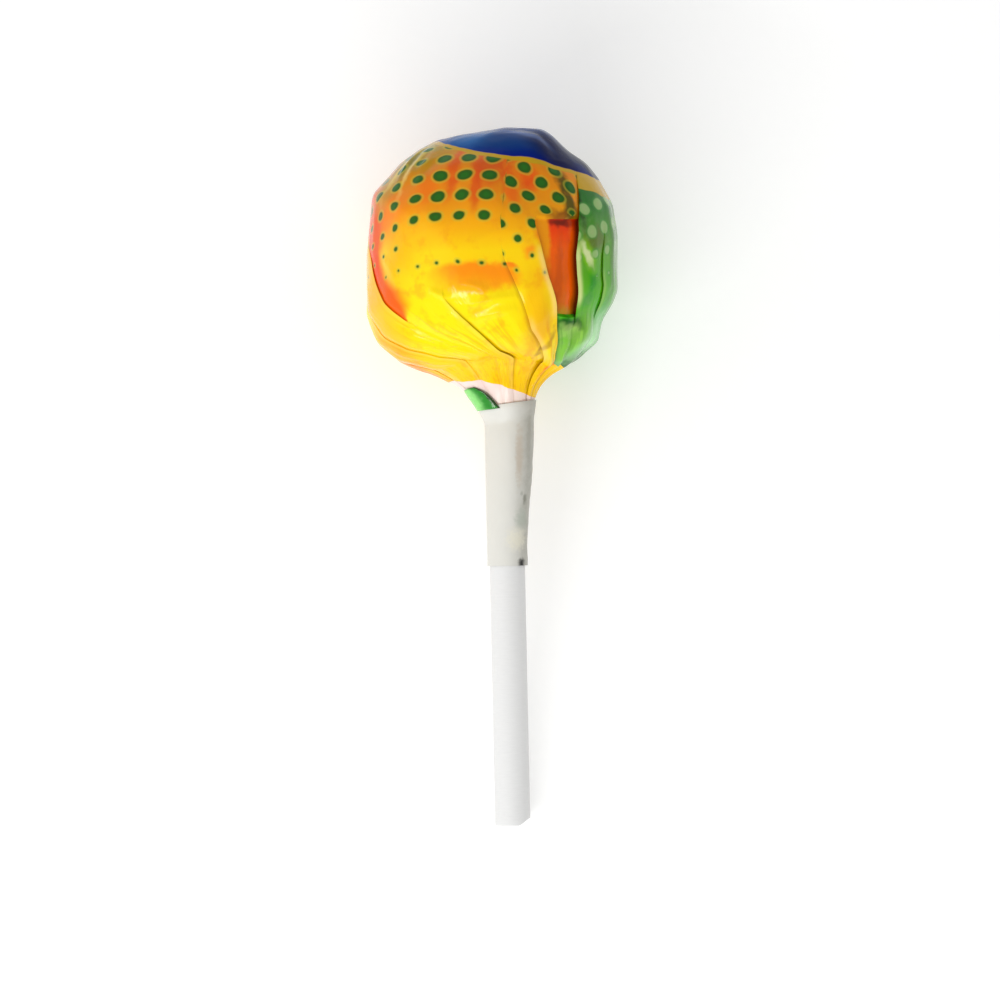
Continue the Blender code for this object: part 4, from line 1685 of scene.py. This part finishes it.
    def sheet_values(self, columns: Sequence[Column], unit: Array, azimuth: Array, polar: Array) -> Array:
        """Give each point its place in its panel's dot grid, and the dots' size there.

        Args:
            columns: Columns of the grid.
            unit: Directions on the ball, as rows and columns.
            azimuth: Azimuths of the same points.
            polar: Angle from the top of each row.

        Returns:
            Cells across, cells up and dot radius.
        """
        sheet = np.zeros(unit.shape)
        for number, column in enumerate(columns):
            fold = self.shape.folds[column.panel]
            sheet[:, number, 0], sheet[:, number, 1] = fold.sheet.cells(unit[:, number])
            sheet[:, number, 2] = self.dot_sizes(azimuth[:, number], polar, column.panel)
        return sheet

    def gap_values(self, columns: Sequence[Column], azimuth: Array, polar: Array) -> Array:
        """Give each point beside the left flap its distance from it, as a share of the red's width."""
        width = np.sin(np.radians(polar))[:, None] * self.shape.radius / MM
        away = np.radians(azimuth - self.shape.fold_azimuth(0, polar)[:, None]) * width
        beside = np.array([column.panel == 0 for column in columns])[None, :]
        reach = np.interp(polar, *self.red_reach)[:, None]
        return np.where(beside, np.maximum(away, 0) / reach, 9.0)

    def face_zones(self, columns: Sequence[Column], polar: Array, inner: Sequence[bool]) -> Array:
        """Choose the material of each quad.

        Args:
            columns: Columns of the grid.
            polar: Angle from the top of each ring on the ball.
            inner: Whether each ring below the ball is inner film.

        Returns:
            Material numbers, as rows and columns.
        """
        shape = self.shape
        rows = len(polar) + len(inner)
        middle = np.concatenate(((polar[:-1] + polar[1:]) / 2, np.full(len(inner), shape.ball_end)))
        zones = np.zeros((rows - 1, len(columns)), dtype=int)
        for number in range(len(columns)):
            zone = shape.folds[columns[number].panel].zone
            if zone is not Zone.STRIP:
                zones[:, number] = zone.value
                continue
            upper = middle < shape.strip_top[0] + 1.5
            lower = middle > shape.strip_tuck[0]
            zones[:, number] = np.where(upper, Zone.YELLOW.value, Zone.STRIP.value)
            zones[lower, number] = Zone.GREEN.value
        zones[middle > self.green_foot] = Zone.YELLOW.value
        for row, is_inner in enumerate(inner):
            if is_inner:
                zones[len(polar) - 1 + row] = Zone.INNER.value
        return zones


@dataclass
class GreenCorner:
    """A small corner of green film that comes out from under the hem at the neck's left."""

    head: WrappedHead
    rows: int = 16
    columns: int = 14
    top_azimuth: tuple[float, float] = (-68.0, -44.0)
    low_azimuth: tuple[float, float] = (-96.0, -8.0)
    top_share: float = 0.55
    lift: float = 0.11 * MM
    thickness: float = 0.05 * MM

    def build(self, material: Material, start_ring: float = 150.0) -> Piece:
        """Make the leaf-shaped corner just outside the inner film.

        Args:
            material: Green film of the corner.
            start_ring: Angle from the top where the ball turns into the neck.

        Returns:
            The dressed piece.
        """
        head = self.head
        share = np.linspace(0, 1, self.rows)[:, None]
        side = np.linspace(0, 1, self.columns)[None, :]
        first = self.top_azimuth[0] + share * (self.low_azimuth[0] - self.top_azimuth[0])
        last = self.top_azimuth[1] + share ** 0.8 * (self.low_azimuth[1] - self.top_azimuth[1])
        azimuth = first + side * (last - first)
        unit = direction(azimuth, start_ring)
        ball = unit * head.shape.film_radius(unit)[..., None]
        neck = head.ring_points(azimuth, head.mouth(azimuth), 0.0)
        neck[..., 2] = head.neck_height(neck[..., 0]) - 0.4 * MM
        down = self.top_share + (1 - self.top_share) * share
        point = ball + down[..., None] * (neck - ball)
        outward = np.stack((point[..., 0] - head.stick_x, point[..., 1], 0 * azimuth), axis=-1)
        outward /= np.linalg.norm(outward, axis=-1, keepdims=True)
        sag = head.cone_sag * 4 * down * (1 - down) + head.hem_depth * (1 - down)
        belly = self.lift * (0.35 + np.sin(np.pi * side))
        point = point + outward * (belly - sag)[..., None]
        point[..., 2] += head.cone_sag * 2 * (down * (1 - down))[..., 0:1].repeat(self.columns, axis=1)
        leaf = np.stack((side + 0 * share, share + 0 * side, 0 * azimuth), axis=-1)
        piece = build_piece(
            "green_corner", point, head.shape.pose, [material], {"leaf": leaf}, closed=False)
        wall = piece.modifiers.new("film", "SOLIDIFY")
        wall.thickness = self.thickness
        wall.offset = 0
        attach(piece, "root")
        return piece


@dataclass(frozen=True)
class CornerFilm:
    """The same printed polypropylene film, seen from its edge: light green, dark along its fold."""

    name: str = "printed_film_corner"
    pale: str = "#86DC72"
    deep: str = "#1F8A1C"
    edge: str = "#1E4210"
    deep_from: tuple[float, float] = (0.55, 0.95)
    edge_from: tuple[float, float] = (1.0, 1.12)
    cloud_scale: float = 5.0
    cloud_reach: float = 0.3
    roughness: float = 0.2
    ior: float = 1.5

    def dress(self) -> Material:
        """Build the corner's material.

        Returns:
            Glossy light green film, darker to its right edge and its foot.
        """
        material, tree = empty_material(self.name)
        leaf = add_node(tree, "ShaderNodeAttribute", {"attribute_name": "leaf"}).outputs["Vector"]
        split = add_node(tree, "ShaderNodeSeparateXYZ", {}, {0: leaf})
        cloud = add_node(tree, "ShaderNodeTexNoise", {}, {
            "Vector": leaf, "Scale": self.cloud_scale, "Detail": 2.0})
        uneven = add_node(tree, "ShaderNodeMath", {"operation": "MULTIPLY_ADD"}, {
            0: cloud.outputs[0], 1: self.cloud_reach, 2: split.outputs[0]})
        layers: Inks = []
        for low, high, ink in ((*self.deep_from, self.deep), (*self.edge_from, self.edge)):
            fade = add_node(tree, "ShaderNodeMapRange", SMOOTH, {
                "Value": uneven.outputs[0], "From Min": low, "From Max": high})
            layers.append((fade.outputs[0], ink))
        colour = print_inks(tree, linear(self.pale), layers)
        shader = add_node(tree, "ShaderNodeBsdfPrincipled", {}, {
            "Base Color": colour, "Roughness": self.roughness, "IOR": self.ior})
        add_node(tree, "ShaderNodeOutputMaterial", {}, {"Surface": shader.outputs[0]})
        return material


@dataclass
class NeckSleeve:
    """The thin white sleeve round the gathered neck and the upper stick, lapped along one side."""

    head: WrappedHead
    bottom_z: float = -33.6 * MM
    wall: float = 0.16 * MM
    left: float = 2.18 * MM
    pocket: float = 1.05 * MM
    pocket_from: float = 0.10
    pocket_focus: float = 1.5
    flare: float = 2.2 * MM
    rows: int = 130
    columns: int = 128
    seam: float = 58.0
    seam_step: float = 0.09 * MM
    seam_rise: float = 2.5
    seam_fall: float = 9.0
    crumple: float = 0.05 * MM
    crumple_least: float = 0.35
    loose_from: float = 0.3
    dents_round: float = 1.6
    dents_down: float = 9.0

    def surface(self, azimuth: Array, share: Array, inset: float) -> Array:
        """Points of the sleeve's wall.

        Args:
            azimuth: Degrees round the stick from the shown side.
            share: From 0 at the slanted top edge to 1 at the straight lower edge.
            inset: How far inside the outer face, in metres.

        Returns:
            Points in the last axis of the array.
        """
        head = self.head
        to_right = rightness(azimuth)
        narrowing = 1 - smoothstep(self.pocket_from, 1.0, share)
        body = self.left + self.pocket * narrowing * to_right ** self.pocket_focus
        flared = 1 - smoothstep(0.0, self.flare / (head.neck_z - self.bottom_z), share)
        radius = body + flared * (head.mouth(azimuth) - body)
        past = (azimuth - self.seam) % 360
        fall, rise = np.exp(-past / self.seam_fall), smoothstep(0, self.seam_rise, past)
        radius = radius + self.seam_step * fall * rise
        radius = radius + self.crumples(azimuth, share)
        point = head.ring_points(azimuth, radius - inset, 0.0)
        top = head.neck_height(point[..., 0])
        point[..., 2] = top + share * (self.bottom_z - top)
        return point

    def crumples(self, azimuth: Array, share: Array) -> Array:
        """Soft dents of the loose side.

        Args:
            azimuth: Degrees round the stick.
            share: From the top edge to the lower edge.

        Returns:
            Height of the dents in metres.
        """
        loose = smoothstep(self.loose_from, 1.0, rightness(azimuth))
        height = np.zeros(azimuth.shape)
        for row in range(azimuth.shape[0]):
            for column in range(azimuth.shape[1]):
                a = math.radians(azimuth[row, column])
                across, out = self.dents_round * math.sin(a), self.dents_round * math.cos(a)
                spot = (across, out, self.dents_down * share[row, column])
                height[row, column] = noise.noise(spot) + 0.5 * noise.noise([2.3 * part for part in spot])
        return self.crumple * height * (self.crumple_least + loose)

    def build(self, material: Material) -> Piece:
        """Make the sleeve as one thin closed wall.

        Args:
            material: Satin film of the sleeve.

        Returns:
            The dressed piece.
        """
        azimuth = np.linspace(-180, 180, self.columns, endpoint=False)[None, :]
        down = np.linspace(0, 1, self.rows)[:, None]
        azimuth, down = np.broadcast_arrays(azimuth, down)
        outer = self.surface(azimuth, down, 0.0)
        inner = self.surface(azimuth[::-1], down[::-1], self.wall)
        rows = np.concatenate((outer, inner, outer[:1]))
        length = (self.head.neck_z - self.bottom_z) / MM
        arc = np.radians(azimuth) * self.left * 1.25 / MM
        wrap = np.stack((arc, down * length, 0 * down), axis=-1)
        wrap = np.concatenate((wrap, wrap[::-1], wrap[:1]))
        piece = build_piece("sleeve", rows, self.head.shape.pose, [material], {"wrap": wrap}, sharp=60)
        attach(piece, "root")
        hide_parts("neck_sleeve")
        return piece


@dataclass
class Stick:
    """The straight rolled paper stick, its lower end cut a little askew."""

    head: WrappedHead
    top: float = 1.0 * MM
    end: float = 61.95 * MM
    skew: float = 0.75 * MM
    skew_from: float = 0.3
    edge: float = 0.10 * MM
    sides: int = 96
    rows: int = 120
    rim_turns: tuple[float, ...] = (0.5, 1.0, 1.4)
    # Shares of the radius at the rings of the end face; the middle one stays open by a hair.
    end_rings: tuple[float, ...] = (0.94, 0.85, 0.75, 0.65, 0.55, 0.45, 0.35, 0.25, 0.15, 0.02)

    def build(self, material: Material) -> Piece:
        """Make the stick with softened rims and its end face.

        Args:
            material: Paper of the stick.

        Returns:
            The dressed piece.
        """
        radius = self.head.stick_radius
        azimuth = np.linspace(-180, 180, self.sides, endpoint=False)
        profile = [(radius * share, self.top, 0.0) for share in (self.end_rings[-1], 0.5)]
        profile += [(radius, self.top + (self.end - self.edge - self.top) * step / self.rows, 0.0)
                    for step in range(self.rows + 1)]
        for turn in self.rim_turns:
            inward, back = 1 - math.cos(turn), 1 - math.sin(turn)
            profile.append((radius - self.edge * inward, self.end - self.edge * back, 0.0))
        profile += [(radius * share, self.end, radius * share / MM) for share in self.end_rings]
        rows, wraps = [], []
        for reach, depth, turn in profile:
            ring = self.head.ring_points(azimuth, np.full(self.sides, reach), -depth)
            to_right = (ring[:, 0] - self.head.stick_x) / radius
            near_end = smoothstep(self.end - 3 * MM, self.end, depth)
            ring[:, 2] += self.skew * near_end * smoothstep(self.skew_from, 1.0, to_right)
            rows.append(ring)
            arc = np.radians(azimuth) * radius / MM
            coil = turn + self.layer_shift(azimuth) if turn else 0 * azimuth
            wraps.append(np.stack((arc, 0 * arc + depth / MM, coil), axis=-1))
        pose = self.head.shape.pose
        wrap = {"wrap": np.stack(wraps)}
        piece = build_piece("paper_stick", np.stack(rows), pose, [material], wrap, sharp=40)
        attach(piece, "root")
        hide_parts("stick")
        return piece

    def layer_shift(self, azimuth: Array) -> Array:
        """How far the rolled layers have moved out in a part of a turn, in mm."""
        return StickPaper.layer * ((azimuth + 180) / 360)


class Light(Enum):
    """Soft lights of the studio: place from the ball in mm, size in mm, watts."""

    KEY = ((-130, -310, 255), (420, 12), 0.85)
    FILL = ((-330, 0, 160), (300, 300), 0.08)


@dataclass
class Studio:
    """Pale floor, soft lights and the camera above the lollipop."""

    pose: LyingPose
    distance: float = 1200 * MM
    lens: float = 396.0
    lean: float = math.radians(1.2)
    aim_right: float = 0.873 * MM
    aim_down: float = 26.4 * MM
    floor_side: float = 3.0
    sky: str = "#FFFFFF"
    sky_left: float = 0.72
    sky_right: float = 0.56

    def build(self) -> None:
        """Set up the floor, the lights, the sky and the camera."""
        self.build_floor()
        for light in Light:
            self.build_light(light)
        self.build_sky()
        self.build_camera()
        bpy.context.scene.view_settings.view_transform = "Standard"

    def build_floor(self) -> None:
        """Lay the pale board under the lollipop."""
        half = self.floor_side / 2
        mesh = bpy.data.meshes.new("floor")
        corners = [(-half, -half, 0), (half, -half, 0), (half, half, 0), (-half, half, 0)]
        mesh.from_pydata(corners, [], [(0, 1, 2, 3)])
        mesh.materials.append(FloorBoard().dress())
        floor = bpy.data.objects.new("floor", mesh)
        bpy.context.scene.collection.objects.link(floor)

    def build_light(self, light: Light) -> None:
        """Hang one soft light that faces the ball.

        Args:
            light: Which light.
        """
        place, size, watts = light.value
        data = bpy.data.lights.new(light.name.lower(), "AREA")
        data.shape = "RECTANGLE"
        data.size = size[0] * MM
        data.size_y = size[1] * MM
        data.energy = watts
        lamp = bpy.data.objects.new(light.name.lower(), data)
        target = Vector((0, 0, self.pose.height))
        lamp.location = target + Vector(place) * MM
        lamp.rotation_euler = (lamp.location - target).to_track_quat("Z", "Y").to_euler()
        bpy.context.scene.collection.objects.link(lamp)

    def build_sky(self) -> None:
        """Surround the studio with even pale light."""
        world = bpy.data.worlds.new("studio")
        world.use_nodes = True
        back = world.node_tree.nodes["Background"]
        back.inputs["Color"].default_value = linear(self.sky)
        spot = add_node(world.node_tree, "ShaderNodeTexCoord")
        split = add_node(world.node_tree, "ShaderNodeSeparateXYZ", {}, {0: spot.outputs["Generated"]})
        side = add_node(world.node_tree, "ShaderNodeMapRange", {}, {
            "Value": split.outputs[0], "From Min": -1.0, "From Max": 1.0,
            "To Min": self.sky_left, "To Max": self.sky_right})
        world.node_tree.links.new(side.outputs[0], back.inputs["Strength"])
        bpy.context.scene.world = world

    def build_camera(self) -> None:
        """Place the camera over the shown side, square to the stick."""
        turn = self.pose.matrix.to_3x3()
        right = turn @ Vector((math.cos(self.lean), 0, -math.sin(self.lean)))
        up = turn @ Vector((math.sin(self.lean), 0, math.cos(self.lean)))
        back = turn @ Vector((0, -1, 0))
        centre = Vector((0, 0, self.pose.height))
        place = centre + right * self.aim_right - up * self.aim_down + back * self.distance
        data = bpy.data.cameras.new("camera")
        data.lens = self.lens
        data.clip_start = 0.01
        camera = bpy.data.objects.new("camera", data)
        camera.matrix_world = Matrix.Translation(place) @ Matrix((right, up, back)).transposed().to_4x4()
        bpy.context.scene.collection.objects.link(camera)
        bpy.context.scene.camera = camera


def main() -> None:
    """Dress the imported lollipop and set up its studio."""
    logging.basicConfig(level=logging.INFO, format="%(name)s: %(message)s")
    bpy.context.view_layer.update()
    pose = LyingPose()
    head = WrappedHead(WrapperShape(pose))
    films = [YELLOW_FILM.dress(), GREEN_FILM.dress(), STRIP_FILM.dress(), InnerFilm().dress()]
    head.build(films)
    GreenCorner(head).build(CornerFilm().dress())
    NeckSleeve(head).build(SleeveFilm().dress())
    Stick(head).build(StickPaper().dress())
    Studio(pose).build()


if __name__ == "__main__":
    main()
